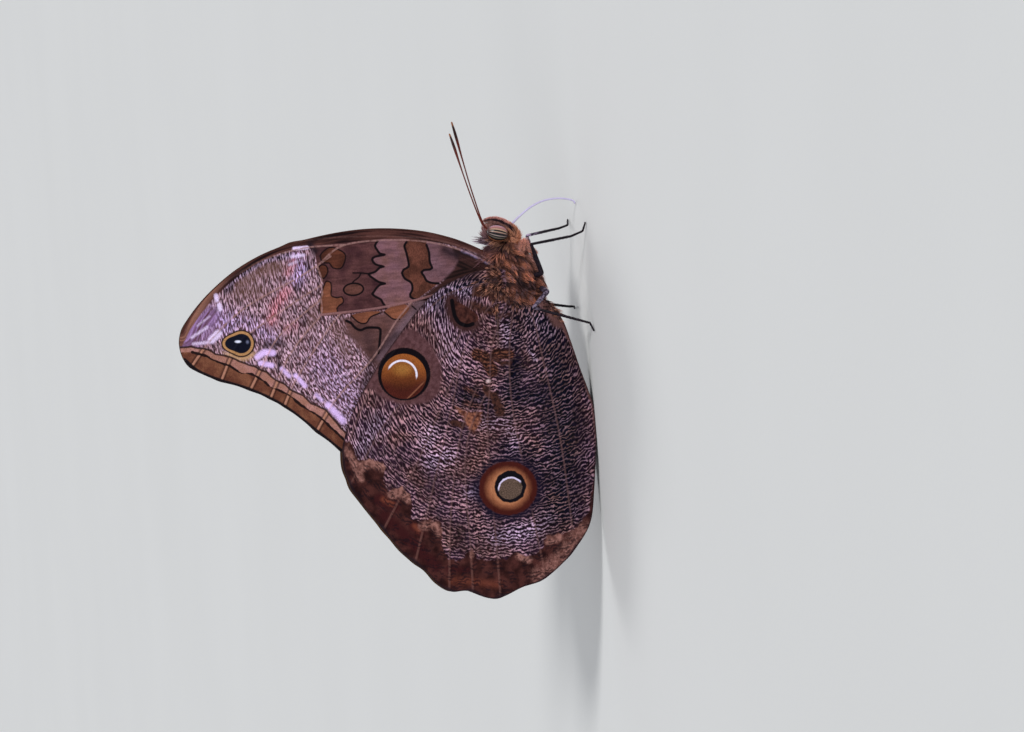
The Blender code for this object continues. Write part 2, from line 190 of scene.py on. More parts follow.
def store(made, name, values):
    """Writes one number, or one vector, for each vertex of a piece."""
    values = np.asarray(values, np.float32)
    kind, field = ("FLOAT", "value") if values.ndim == 1 else ("FLOAT_VECTOR", "vector")
    made.data.attributes.new(name, kind, "POINT").data.foreach_set(field, values.ravel())


head_points, head_faces = unit_ball(36, 24)
body_points, body_faces = [], []
for part_points, part_faces in (
    body_loft(THORAX, FUR_DEPTH["thorax"]),
    body_loft(ABDOMEN, FUR_DEPTH["abdomen"]),
    (HEAD_CENTRE + head_points * (HEAD_SIZE - FUR_DEPTH["head"]), head_faces),
):
    body_faces += [tuple(v + len(body_points) for v in face) for face in part_faces]
    body_points += list(part_points)
skin = piece("body_skin", body_points, body_faces)
turn_outwards(skin.data)
melt = skin.modifiers.new("Melt", "REMESH")
melt.mode = "VOXEL"
melt.voxel_size = SKIN_GRAIN * MM
soften = skin.modifiers.new("Soften", "SMOOTH")
soften.factor = 0.6
soften.iterations = 9
settled(skin)

# Where each place of the skin lies: along the middle line from the tail to the face, and round it
middle_line = curve_through([row[:2] for row in reversed(ABDOMEN)][:-2] + [(12.3, 10.2), (19.6, 12.4)], 0.5)
skin_points = points_of(skin)
skin_along = nearest(middle_line, skin_points[:, [0, 2]])[1]
on_abdomen = 1 - steady(6.0, 9.5, skin_points[:, 0])
ring_place = np.modf(skin_along / (24.0 / ABDOMEN_RINGS))[0]
ring_lift = RING_STEP * (ring_place**2 - 0.4) * on_abdomen * steady(1.0, 3.0, skin_along)
move_points(skin, skin_points + normals_of(skin) * ring_lift[:, None])


# Every finish is mixed from a few nodes. These short hands add them to the tree that lies on the
# bench, and a mark that the piece's mesh carries is fed to them by its name.
bench = {}


def feed(socket, value):
    """Feeds a socket from another node's socket or a mark, or sets it to a plain value."""
    if isinstance(value, str) and socket.type != "STRING":
        value = node("ShaderNodeAttribute", attribute_name=value).outputs["Fac"]
    if isinstance(value, bpy.types.NodeSocket):
        bench["tree"].links.new(value, socket)
    else:
        socket.default_value = (*value, 1.0) if socket.type == "RGBA" else value


def node(kind, values=(), **settings):
    """A new node with its settings, and with the values of its sockets in order or by their names."""
    made = bench["tree"].nodes.new(kind)
    for setting, value in settings.items():
        setattr(made, setting, value)
    for socket, value in values.items() if isinstance(values, dict) else enumerate(values):
        feed(made.inputs[socket], value)
    return made


def maths(operation, *values):
    return node("ShaderNodeMath", values, operation=operation).outputs[0]


def times(*values):
    return maths("MULTIPLY", *values)


def plus(*values):
    return maths("ADD", *values)


def minus(*values):
    return maths("SUBTRACT", *values)


def times_plus(*values):
    """The first value times the second, plus the third."""
    return maths("MULTIPLY_ADD", *values)


def fade(value, start, end, low=0.0, high=1.0, course="SMOOTHSTEP"):
    """Goes smoothly from low to high as the value goes from start to end."""
    return node("ShaderNodeMapRange", (value, start, end, low, high), interpolation_type=course).outputs[0]


def tinted(share, under, over):
    """A colour between two others, each a socket or a plain colour."""
    return node("ShaderNodeMix", {0: share, 6: under, 7: over}, data_type="RGBA").outputs[2]


def layered(colour, *layers):
    """A colour under layers of paint, each with the share that it covers and its own colour."""
    for share, tone in layers:
        colour = tinted(share, colour, tone)
    return colour


def mottle(where, scale, detail=2.0, contrast=0.0):
    """A soft random value about 0.5, with its patches 1/scale across, pushed apart by contrast."""
    noise = node("ShaderNodeTexNoise", {"Vector": where, "Scale": scale, "Detail": detail}).outputs[0]
    return fade(noise, 0.5 - contrast, 0.5 + contrast) if contrast else noise


def scaled(value, share):
    """A colour made lighter or darker, or a vector made longer or shorter, by a share."""
    return node("ShaderNodeVectorMath", {0: value, "Scale": share}, operation="SCALE").outputs[0]


def vector_sum(*values):
    return node("ShaderNodeVectorMath", values, operation="ADD").outputs[0]


def stretched(where, scale):
    return node("ShaderNodeVectorMath", (where, scale), operation="MULTIPLY").outputs[0]


def in_mm():
    """The place on the piece, in millimetres."""
    return scaled(node("ShaderNodeTexCoord").outputs["Object"], 1 / MM)


def finish_of(name, paint, **settings):
    """A material whose paint function gives its colour, roughness, relief and the relief's depth.
    Other settings are constants of the shader, by the names of its sockets."""
    made = bpy.data.materials.new(name)
    made.use_nodes = True
    bench["tree"] = made.node_tree
    shader = made.node_tree.nodes["Principled BSDF"]
    colour, roughness, height, depth = paint()
    relief = node("ShaderNodeBump", {"Distance": depth * MM, "Height": height})
    for socket, value in (("Base Color", colour), ("Roughness", roughness), ("Normal", relief.outputs[0])):
        feed(shader.inputs[socket], value)
    for socket, value in settings.items():
        shader.inputs[socket.replace("_", " ")].default_value = value
    return made


def strokes(points, *marks):
    """How strongly soft brush strokes tint each point. A stroke is the places of its line, one after
    another, then its reach and its strength."""
    strongest = np.zeros(len(points))
    for *line, reach, strength in marks:
        from_line = nearest(np.reshape(line, (-1, 2)), points)[0]
        strongest = np.maximum(strongest, strength * np.exp(-((from_line / reach) ** 2)))
    return strongest


def new_group(kind, name, inputs, outputs):
    """An empty group of nodes, laid on the bench, and the sockets within it."""
    group = bpy.data.node_groups.new(name, kind)
    for in_out, sockets in (("INPUT", inputs), ("OUTPUT", outputs)):
        for label, value_kind in sockets.items():
            group.interface.new_socket(label, in_out=in_out, socket_type="NodeSocket" + value_kind)
    bench["tree"] = group
    return group, node("NodeGroupInput").outputs, node("NodeGroupOutput").inputs


def effect(group, **values):
    """Places a shared effect in a material, with its own values, and gives its outputs."""
    made = node("ShaderNodeGroup", node_tree=group)
    for label, value in values.items():
        feed(made.inputs[label.replace("_", " ")], value)
    return made.outputs


# The coat of the body is woolly on the thorax, short on the head and scaly on the abdomen. Each tuft
# is a solid lock that stands on the skin and follows its lie, and skin and coat share one colouring.
def lock(name, strands, height, spread, thickness, curl, seed, levels=(0.0, 0.45, 0.8, 1.0), flat=1.0):
    """A tuft of tapering strands whose tips lean back, with its own small patch of the unwrap."""
    random = np.random.default_rng(seed)
    patch = 0.003
    points, faces, shares, places = [], [], [], []
    for strand in range(strands):
        angle, out = random.uniform(0, 2 * math.pi), spread * math.sqrt(random.uniform(0, 1))
        root = np.array((out * math.cos(angle), out * math.sin(angle), -0.12 * height))
        tip_pull = random.uniform(-0.35, 0.5)
        sway = random.normal(0, 0.1, 2) * height
        tall = height * random.uniform(0.75, 1.15)
        for level in levels:
            centre = root * (1 - tip_pull * level, 1 - tip_pull * level, 1) + np.array((
                -curl * height * level**2 + sway[0] * level, sway[1] * level**1.5, tall * level))
            radius = thickness * (1 - level**1.6)
            corners = 3 if level < 1 else 1
            for corner in range(corners):
                turn = angle + corner * 2 * math.pi / 3
                points.append(centre + radius * np.array((flat * math.cos(turn), math.sin(turn), 0)))
                shares.append(level)
                places.append((patch * (strand + 0.3 * corner) / strands, patch * level))
        first = len(points) - 3 * (len(levels) - 1) - 1
        faces.append((first + 2, first + 1, first))
        for ring in range(len(levels) - 2):
            for corner in range(3):
                a, b = first + 3 * ring + corner, first + 3 * ring + (corner + 1) % 3
                faces += [(a, b, b + 3), (a, b + 3, a + 3)]
        last = len(points) - 1
        faces += [(last - 3 + corner, last - 3 + (corner + 1) % 3, last) for corner in range(3)]
    made = piece(name, points, faces)
    store(made, "strand", shares)
    layer = made.data.uv_layers.new(name="OFBake")
    corners = np.array([places[loop.vertex_index] for loop in made.data.loops], np.float32)
    layer.data.foreach_set("uv", corners.ravel())
    return made


coat_tree, coat_in, coat_out = new_group("GeometryNodeTree", "coat", {
    "Skin": "Geometry", "Tuft": "Object", "Growth": "String", "Spacing": "Float", "Lift": "Float",
    "Unrest": "Float", "Seed": "Int", "Finish": "Material"}, {"Coat": "Geometry"})
DENSEST = 3e8


def carried(name, kind="FLOAT"):
    """Reads a value that the skin carries, within the coat's tree."""
    return node("GeometryNodeInputNamedAttribute", {"Name": name}, data_type=kind).outputs["Attribute"]


def drawn_at_random(kind, low, high, seed_shift):
    made = node("FunctionNodeRandomValue", {"Seed": plus(coat_in["Seed"], seed_shift)}, data_type=kind)
    for socket in made.inputs:
        if socket.enabled and socket.name in ("Min", "Max"):
            feed(socket, low if socket.name == "Min" else high)
    return next(socket for socket in made.outputs if socket.enabled)


scatter = node("GeometryNodeDistributePointsOnFaces", {
    "Mesh": coat_in["Skin"], "Distance Min": coat_in["Spacing"], "Density Max": DENSEST,
    "Density Factor": carried(coat_in["Growth"]), "Seed": coat_in["Seed"]}, distribute_method="POISSON")
outwards = scatter.outputs["Normal"]
pointing = vector_sum(scaled(outwards, coat_in["Lift"]), carried("lie", "FLOAT_VECTOR"))
along_lie = node("FunctionNodeAlignRotationToVector", {"Vector": pointing}, axis="Z")
back_out = node("FunctionNodeAlignRotationToVector", {"Rotation": along_lie.outputs[0], "Vector": outwards},
                axis="X", pivot_axis="Z")
unrest = scaled(drawn_at_random("FLOAT_VECTOR", (-1.0, -1.0, -1.6), (1.0, 1.0, 1.6), 3), coat_in["Unrest"])
as_turn = node("FunctionNodeEulerToRotation", (unrest,))
ruffled = node("FunctionNodeRotateRotation",
               {"Rotation": back_out.outputs[0], "Rotate By": as_turn.outputs[0]}, rotation_space="LOCAL")
planted = node("GeometryNodeInstanceOnPoints", {
    "Points": scatter.outputs["Points"],
    "Instance": node("GeometryNodeObjectInfo", {"Object": coat_in["Tuft"]}).outputs["Geometry"],
    "Rotation": ruffled.outputs[0],
    "Scale": times(drawn_at_random("FLOAT", 0.7, 1.25, 5), carried("fur_length"))})
realized = node("GeometryNodeRealizeInstances", (planted.outputs[0],))
patched = vector_sum(carried("root", "FLOAT_VECTOR"), carried("OFBake", "FLOAT_VECTOR"))
unwrapped = node("GeometryNodeStoreNamedAttribute", {
    "Geometry": realized.outputs[0], "Name": "OFBake", "Value": patched,
}, data_type="FLOAT2", domain="CORNER")
painted = node("GeometryNodeSetMaterial", {"Geometry": unwrapped.outputs[0], "Material": coat_in["Finish"]})
feed(coat_out[0], painted.outputs[0])


def coat_on(name, skin_piece, tuft, growth, spacing, lift, unrest, seed, finish):
    """A coat of tufts over a piece's skin, as a plain mesh of its own."""
    made = bpy.data.objects.new(name, skin_piece.data)
    collection.objects.link(made)
    grow = made.modifiers.new("Coat", "NODES")
    grow.node_group = coat_tree
    values = {"Tuft": tuft, "Growth": growth, "Spacing": spacing * MM, "Lift": lift, "Unrest": unrest,
              "Seed": seed, "Finish": finish}
    for item in coat_tree.interface.items_tree:
        if item.name in values:
            grow[item.identifier] = values[item.name]
    settled(made)
    made.data.name = name
    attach(made, "root")
    return made


def put_away(*helpers):
    for helper in helpers:
        bpy.data.objects.remove(helper)


def lay_fur(made, lie, root, length):
    """Gives a skin the lie of its fur, each place on its unwrap, and the fur's share of full length."""
    turned = normals_of(made)
    flat = lie - turned * (lie * turned).sum(1)[:, None]
    flat /= np.linalg.norm(flat, axis=1)[:, None] + 1e-6
    store(made, "lie", flat)
    store(made, "root", np.column_stack([root, np.zeros(len(root))]))
    store(made, "fur_length", length)


EYE_CENTRE = np.array((19.1, 1.35, 12.65))
EYE_SIZE = np.array((1.22, 1.1, 1.68))
CLUMP_SPACING = 1.75
CLUMP_REACH = 1.9
skin_points = points_of(skin)
skin_normals = normals_of(skin)
side_plan = skin_points[:, [0, 2]]
skin_along = nearest(middle_line, side_plan)[1]
steps = np.linalg.norm(np.diff(middle_line, axis=0), axis=1)
lengths = np.concatenate([[0.0], np.cumsum(steps)])
middle_x, middle_z = (np.interp(skin_along, lengths, middle_line[:, axis]) for axis in (0, 1))
slopes = np.gradient(middle_line, axis=0)
slopes /= np.linalg.norm(slopes, axis=1)[:, None]
slope_x, slope_z = (np.interp(skin_along, lengths, slopes[:, axis]) for axis in (0, 1))
rise = (side_plan[:, 1] - middle_z) * slope_x - (side_plan[:, 0] - middle_x) * slope_z
round_angle = np.arctan2(skin_points[:, 1], rise)
skin_root = np.column_stack([0.5 + 0.49 * round_angle / math.pi, 0.01 + 0.98 * skin_along / lengths[-1]])
on_head = steady(16.9, 17.9, skin_points[:, 0]) * steady(9.6, 10.6, skin_points[:, 2])
on_thorax = steady(7.0, 8.6, skin_points[:, 0]) * (1 - on_head)
on_crown = on_head * steady(12.9, 14.2, skin_points[:, 2])
on_collar = strokes(side_plan, (17.9, 13.8, 17.55, 13.1, 0.4, 1.0))
on_face = strokes(side_plan, (20.5, 11.2, 20.4, 12.6, 19.9, 13.9, 0.8, 1.0))
on_cheek = strokes(side_plan, (20.4, 10.8, 19.2, 10.1, 18.0, 10.6, 0.8, 1.0))
on_shoulder = strokes(side_plan, (17.4, 12.5, 16.8, 12.9, 15.8, 13.7, 15.2, 14.0, 0.65, 1.0))
on_shoulder *= 1 - on_collar
standing = np.maximum(on_collar, on_shoulder)
on_rim = strokes(side_plan, (18.25, 13.6, 18.0, 12.4, 18.05, 11.2, 0.18, 0.9)) * (1 - on_collar)

# The hair runs backwards and a little down, forwards over the face, and up at the crown and collar
skin_lie = np.column_stack([-slope_x, np.zeros(len(slope_x)), -slope_z])
skin_lie[:, 2] -= 0.55 * on_thorax
for zone, forwards, upwards in (
    (on_head * np.clip(skin_points[:, 0] - 19.4, 0, 1), 0.5, -1.0), (on_crown, 1.6, 1.4),
    (on_collar, -0.4, 4.4), (on_shoulder, 1.6, 3.9), (on_face, 3.0, 0.9), (on_cheek, 1.2, -0.6),
):
    skin_lie += zone[:, None] * (forwards, 0.0, upwards)
# It stands in clumps: the locks about one middle lean together, with painted shade in the gaps between
# clumps
random = np.random.default_rng(7)
middles = [0]
for number in random.permutation(len(skin_points)):
    if np.linalg.norm(skin_points[middles] - skin_points[number], axis=1).min() > CLUMP_SPACING:
        middles.append(number)
clumps = KDTree(len(middles))
for place, number in enumerate(middles):
    clumps.insert(skin_points[number], place)
clumps.balance()
closest = [clumps.find_n(point, 2) for point in skin_points]
clump_of = np.array([pair[0][1] for pair in closest])
clump_edge = np.array([pair[0][2] / pair[1][2] for pair in closest])
clump_lie = skin_lie[middles] / np.linalg.norm(skin_lie[middles], axis=1)[:, None]
clump_tips = skin_points[middles] + CLUMP_REACH * clump_lie + 0.8 * skin_normals[middles]
skin_lie += (on_thorax * (1 - standing))[:, None] * (clump_tips[clump_of] - skin_points)
past_middle = ((skin_points - skin_points[middles][clump_of]) * clump_lie[clump_of]).sum(1) / CLUMP_SPACING
# Painted shade on the root side of each clump, where the tips of the clump before it lie over it
overlap_shade = 0.9 * steady(0.05, -0.55, past_middle) * steady(0.3, 0.8, clump_edge)
from_eye = np.min([np.linalg.norm((skin_points - EYE_CENTRE * (1, turn, 1)) / EYE_SIZE, axis=1)
                   for turn in (1, -1)], axis=0)
# Along the gap lines the fur is shorter, and painted shade darkens them
gap_lines = (
    (14.9, 13.4, 12.5, 10.7, 11.0, 10.1, 9.9, 6.2), (17.1, 15.3, 16.6, 13.3, 17.1, 11.8),
    (13.2, 8.2, 12.4, 7.0), (15.6, 12.4, 14.6, 10.2), (10.4, 12.4, 9.0, 11.6),
    (18.1, 14.6, 17.6, 13.2, 17.7, 11.6),
)
fur_gap = strokes(side_plan, *((*line, 0.34, 1.0) for line in gap_lines)) * (1 - on_collar)
fur_length = 1.0 - 0.5 * fur_gap - 0.4 * clump_edge**4 * on_thorax * (1 - standing)
fur_length += (0.8 * on_crown + 1.1 * on_face + 0.8 * on_cheek - 0.52 * on_collar + 0.95 * on_shoulder
               - 0.5 * on_rim)
lay_fur(skin, skin_lie, skin_root, fur_length)
# Painted shade at the edges of the clumps and on their overlapped root sides
between = np.maximum(0.95 * clump_edge**6, overlap_shade) * on_thorax * (1 - standing)
clump_tone = random.uniform(0, 1, len(middles))[clump_of]
# Two strokes lighten the clumps on the lower thorax and by the wing root; the third darkens them as painted
# shade between the midleg and the thorax
clump_tone += strokes(side_plan, (14.0, 10.2, 13.4, 7.8, 1.3, 0.5), (11.8, 14.0, 9.2, 12.4, 0.9, 0.4))
clump_tone -= strokes(side_plan, (11.6, 10.6, 11.2, 8.2, 1.1, 0.55))
ventral = strokes(side_plan, (17.6, 9.6, 15.6, 8.1, 13.8, 7.0, 11.4, 5.5, 8.9, 4.8, 0.8, 1.0))
below_eye = strokes(side_plan, (17.3, 12.0, 16.4, 10.9, 0.22, 0.6), (19.6, 10.9, 18.4, 11.1, 0.5, 0.75))
# Painted shade: a dark hollow in the fur behind the neck, and the gap between the head and the collar
hollow = strokes(
    side_plan, (16.8, 12.3, 16.3, 11.5, 0.5, 1.0), (15.9, 11.6, 15.2, 10.6, 0.5, 0.5),
    (18.1, 14.3, 17.6, 13.4, 17.4, 12.4, 17.5, 11.6, 0.33, 1.0),
)
for mark, values in {
    # The gap mark carries painted shade
    "gap": np.maximum(fur_gap * (1 - on_shoulder), between), "clump": clump_tone,
    "thorax_growth": on_thorax * (1 - standing), "collar_growth": standing > 0.4,
    "head_growth": on_head * (from_eye > 1.03), "abdomen_growth": 1 - steady(7.4, 8.6, skin_points[:, 0]),
    "abdomen": 1 - steady(6.6, 8.4, skin_points[:, 0]), "head": on_head, "collar": on_collar,
    "shoulder": on_shoulder, "ventral": ventral, "face": on_face, "crown": on_crown,
    "rim": np.maximum(on_rim, below_eye * (1 - on_collar)), "hollow": hollow,
}.items():
    store(skin, mark, values)

body_tones, tones_in, tones_out = new_group("ShaderNodeTree", "body_tones", {"Strand": "Float"},
                                            {"Colour": "Color"})
body_where = in_mm()
patches = mottle(body_where, 0.5, 2.0, 0.2)
clump = fade(plus("clump", patches), 0.35, 1.3)
near_tip = fade(tones_in["Strand"], 0.05, 0.9)
wool_tips = tinted(clump, (0.15, 0.053, 0.045), (1.0, 0.36, 0.215))
lilac_hairs = mottle(stretched(body_where, (0.5, 1.0, 1.0)), 1.6, 2.0, 0.1)
wool_tips = tinted(fade(lilac_hairs, 0.66, 0.92, 0.0, 0.6), wool_tips, (0.4, 0.235, 0.265))
wool = tinted(near_tip, tinted(clump, (0.012, 0.005, 0.005), (0.06, 0.018, 0.011)), wool_tips)
only_tip = fade(tones_in["Strand"], 0.5, 0.95)
for mark, low, high in (
    ("abdomen", (0.055, 0.03, 0.025), (0.2, 0.125, 0.095)),
    ("head", (0.14, 0.05, 0.036), (0.66, 0.29, 0.19)),
    ("crown", (0.06, 0.024, 0.028), (0.27, 0.14, 0.155)),
    ("face", (0.13, 0.056, 0.048), (0.52, 0.265, 0.23)),
    ("ventral", (0.2, 0.085, 0.07), (0.88, 0.46, 0.39)),
    ("shoulder", (0.01, 0.004, 0.008), (0.14, 0.06, 0.07)),
    # painted shade in the hollow behind the neck
    ("hollow", (0.01, 0.004, 0.008), (0.085, 0.036, 0.045)),
    ("collar", (0.01, 0.005, 0.01), (0.6, 0.42, 0.54)),
    ("rim", (0.24, 0.085, 0.045), (0.95, 0.47, 0.27)),
):
    tip = only_tip if mark == "collar" else near_tip
    wool = tinted(mark, wool, tinted(tip, low, high))
# Painted shade in the gaps and between the clumps
shadow = times("gap", 0.9)
wool = tinted(shadow, wool, (0.01, 0.005, 0.006))
fine_hair = mottle(stretched(body_where, (0.6, 1.0, 1.0)), 5.0, 2.0)
feed(tones_out[0], scaled(wool, fade(fine_hair, 0.3, 0.7, 0.72, 1.3)))


def skin_paint():
    where = in_mm()
    hair = mottle(stretched(where, (0.7, 1.6, 1.6)), 5.0, 3.0)
    return effect(body_tones, Strand=0.3)[0], fade(hair, 0.3, 0.7, 0.95, 0.7), hair, 0.12


def coat_paint():
    streak = mottle(in_mm(), 12.0)
    return effect(body_tones, Strand="strand")[0], fade(streak, 0.3, 0.7, 0.9, 0.6), streak, 0.01


skin.data.materials.append(finish_of("body_skin", skin_paint, Specular_IOR_Level=0.1))
coat_finish = finish_of("body_coat", coat_paint, Specular_IOR_Level=0.2)
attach(skin, "root")
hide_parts("thorax", "abdomen", "head")
wool_tuft = lock("wool_tuft", 7, 1.45, 0.24, 0.07, 0.3, 11)
head_tuft = lock("head_tuft", 5, 0.6, 0.12, 0.035, 0.3, 12)
collar_tuft = lock("collar_tuft", 7, 1.8, 0.3, 0.085, -0.1, 16)
scale_tuft = lock("scale_tuft", 4, 0.5, 0.14, 0.05, 0.3, 13, (0.0, 0.6, 1.0))
for coat_name, tuft, growth, spacing, lift, unrest_share, seed, slot in (
    ("thorax_wool", wool_tuft, "thorax_growth", 0.38, 0.5, 0.13, 1, "thorax_fur"),
    ("collar_wool", collar_tuft, "collar_growth", 0.26, 0.3, 0.12, 4, "thorax_fur"),
    ("head_hair", head_tuft, "head_growth", 0.16, 0.55, 0.2, 2, "head_scales"),
    ("abdomen_scales", scale_tuft, "abdomen_growth", 0.3, 0.22, 0.15, 3, "abdomen_scales"),
):
    made = coat_on(coat_name, skin, tuft, growth, spacing, lift, unrest_share, seed, coat_finish)
put_away(wool_tuft, scale_tuft, collar_tuft)


# The eyes are large smooth domes, striped brown and cream like meridians that meet above and below,
# under a clear glossy cornea. Each sits in the head with its long axis leaning back a little.
EYE_LEAN = math.radians(15)
EYE_STRIPES = (
    (-1.0, (0.34, 0.13, 0.06)), (-0.93, (0.34, 0.13, 0.06)), (-0.88, (0.006, 0.004, 0.006)),
    (-0.7, (0.006, 0.004, 0.006)), (-0.65, (0.13, 0.11, 0.08)), (-0.58, (0.13, 0.11, 0.08)),
    (-0.53, (0.006, 0.004, 0.006)), (-0.4, (0.006, 0.004, 0.006)), (-0.36, (0.32, 0.24, 0.22)),
    (-0.3, (0.32, 0.24, 0.22)), (-0.26, (0.003, 0.003, 0.004)), (0.0, (0.003, 0.003, 0.004)),
    (0.04, (0.28, 0.15, 0.14)), (0.08, (0.26, 0.12, 0.11)), (0.16, (0.46, 0.35, 0.23)),
    (0.2, (0.005, 0.003, 0.006)), (0.38, (0.008, 0.004, 0.008)), (0.43, (0.54, 0.32, 0.21)),
    (0.56, (0.42, 0.25, 0.19)), (0.62, (0.17, 0.08, 0.07)), (0.7, (0.42, 0.18, 0.17)),
    (0.85, (0.46, 0.2, 0.21)), (0.93, (0.58, 0.4, 0.52)), (1.0, (0.4, 0.22, 0.26)),
)


def eye_paint():
    stops = node("ShaderNodeValToRGB", (fade("stripe", -1.0, 1.0, course="LINEAR"),))
    ramp = stops.color_ramp
    for number, (place, tone) in enumerate(EYE_STRIPES):
        stop = ramp.elements[number] if number < 2 else ramp.elements.new(0.5)
        stop.position = 0.001 * number
    for stop, (place, tone) in zip(ramp.elements, EYE_STRIPES):
        stop.color = (*tone, 1.0)
    for stop, (place, tone) in reversed(list(zip(ramp.elements, EYE_STRIPES))):
        stop.position = (place + 1) / 2
    facets = node("ShaderNodeTexVoronoi", {"Vector": in_mm(), "Scale": 28.0})
    mist = mottle(in_mm(), 2.5)
    colour = tinted(fade(mist, 0.4, 0.8, 0.0, 0.08), stops.outputs[0], (0.2, 0.13, 0.13))
    colour = tinted(fade("pole", 0.66, 0.94, 0.0, 0.85), colour, (0.04, 0.02, 0.024))
    return colour, fade(mist, 0.3, 0.7, 0.22, 0.34), facets.outputs["Distance"], 0.006


eye_finish = finish_of("eye_cornea", eye_paint, Specular_IOR_Level=0.3)
ball_points, ball_faces = unit_ball(96, 64)
lean = np.array(((math.cos(EYE_LEAN), 0, math.sin(EYE_LEAN)), (0, 1, 0),
                 (-math.sin(EYE_LEAN), 0, math.cos(EYE_LEAN))))
for side, turn in (("left", 1), ("right", -1)):
    places = EYE_CENTRE * (1, turn, 1) + (ball_points * EYE_SIZE) @ lean.T
    made = piece(f"eye_{side}_dome", places, ball_faces, eye_finish)
    from_axis = np.maximum(np.hypot(ball_points[:, 0], ball_points[:, 1]), 0.02)
    store(made, "stripe", ball_points[:, 0] / from_axis)
    store(made, "pole", np.abs(ball_points[:, 2]))
    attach(made, "root")
    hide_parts(f"eye_{side}")


# The limbs are thin jointed tubes of dark shell under short scales. One maker draws them all: it
# lays rings round a path, rounds both ends, and marks each place by its share of length and angle.
def limb(name, rows, sides, finish, mirrored=False, flatness=1.0, groove=0.0, floor_level=None, fur=(1, 1)):
    """A closed tube along rows of X, Y, Z and radius. Its angle starts at the side that bends out."""
    path, radii = rows[:, :3] * (1, -1 if mirrored else 1, 1), rows[:, 3]
    along = np.gradient(path, axis=0)
    along /= np.linalg.norm(along, axis=1)[:, None]
    passed = np.concatenate([[0.0], np.cumsum(np.linalg.norm(np.diff(path, axis=0), axis=1))])
    for from_end in (passed, passed[-1] - passed):
        share = np.clip(from_end / radii, 0, 1)
        radii = radii * np.sqrt(np.maximum(1 - (1 - share) ** 2, 0.004))
    across = np.cross(along[0], (0.0, 1.0, 0.0))
    points, turns = [], np.arange(sides) * 2 * math.pi / sides
    for centre, direction, radius in zip(path, along, radii):
        across = across - direction * across.dot(direction)
        across /= np.linalg.norm(across)
        aside = np.cross(direction, across)
        ring = radius * (1 - groove * np.exp(-((np.abs(np.cos(turns)) - 1) / 0.12) ** 2))
        points.append(centre + (ring * np.cos(turns))[:, None] * across
                      + (flatness * ring * np.sin(turns))[:, None] * aside)
    points = np.vstack(points)
    if floor_level is not None:
        points[:, 2] = np.maximum(points[:, 2], floor_level)
    made = piece(name, points, tube_faces(len(path), sides), finish)
    turn_outwards(made.data)
    length_share = np.repeat(passed / passed[-1], sides)
    angle_share = np.tile(turns / (2 * math.pi), len(path))
    store(made, "length_share", length_share)
    store(made, "front", np.tile(np.cos(turns), len(path)))
    lay_fur(made, np.repeat(along, sides, axis=0),
            np.column_stack([angle_share, length_share]) * 0.98 + 0.01,
            np.interp(length_share, np.linspace(0, 1, len(fur)), fur))
    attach(made, "root")
    return made


# The palps curve up in front of the face as two flattened brushes: pink along the front, with a
# black stripe beside it, and orange-brown behind, shaggy towards their roots.
PALP = (
    (18.4, 0.8, 10.9, 0.36), (18.1, 1.0, 10.1, 0.4), (18.7, 1.1, 9.9, 0.44), (19.6, 1.1, 10.3, 0.46),
    (20.4, 1.05, 11.15, 0.46), (20.95, 0.95, 12.05, 0.44), (21.2, 0.85, 12.8, 0.4),
    (21.3, 0.75, 13.6, 0.32), (21.2, 0.65, 14.4, 0.15),
)
PALP_FLATNESS = 0.75
palp_tones, tones_in, tones_out = new_group("ShaderNodeTree", "palp_tones", {"Strand": "Float"},
                                            {"Colour": "Color"})
near_tip = fade(tones_in["Strand"], 0.0, 0.9)
shaggy = fade("length_share", 0.3, 0.5)
tone = tinted(near_tip, tinted(shaggy, (0.2, 0.072, 0.046), (0.19, 0.082, 0.074)),
              tinted(shaggy, (0.8, 0.37, 0.225), (0.56, 0.285, 0.24)))
pink_edge = tinted(near_tip, tinted(shaggy, (0.22, 0.08, 0.05), (0.26, 0.11, 0.09)),
                   tinted(shaggy, (0.7, 0.28, 0.155), (0.88, 0.38, 0.33)))
stripe = times(fade("front", 0.38, 0.22), fade("front", -0.66, -0.5))
stripe = times(stripe, fade("length_share", 0.2, 0.28))
tone = layered(tone, (fade("front", -0.5, -0.6), pink_edge), (stripe, (0.02, 0.01, 0.017)))
feed(tones_out[0], tone)


def palp_paint():
    hair = mottle(in_mm(), 8.0, 3.0)
    return effect(palp_tones, Strand=0.5)[0], fade(hair, 0.3, 0.7, 0.9, 0.65), hair, 0.05


def palp_hair_paint():
    hair = mottle(in_mm(), 12.0)
    return effect(palp_tones, Strand="strand")[0], fade(hair, 0.3, 0.7, 0.9, 0.6), hair, 0.01


palp_finish = finish_of("palp_scales", palp_paint, Specular_IOR_Level=0.2)
palp_hair_finish = finish_of("palp_hair", palp_hair_paint, Specular_IOR_Level=0.2)
for side, seed in (("left", 21), ("right", 22)):
    made = limb(f"palp_{side}_brush", curve_through(PALP, 0.1), 24, palp_finish, side == "right",
                PALP_FLATNESS, fur=(1.4, 1.8, 1.5, 1.0, 0.9, 0.9, 0.7))
    store(made, "growth", np.ones(len(made.data.vertices)))
    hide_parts(f"palp_{side}")
    hair = coat_on(f"palp_{side}_hair", made, head_tuft, "growth", 0.14, 0.28, 0.22, seed, palp_hair_finish)


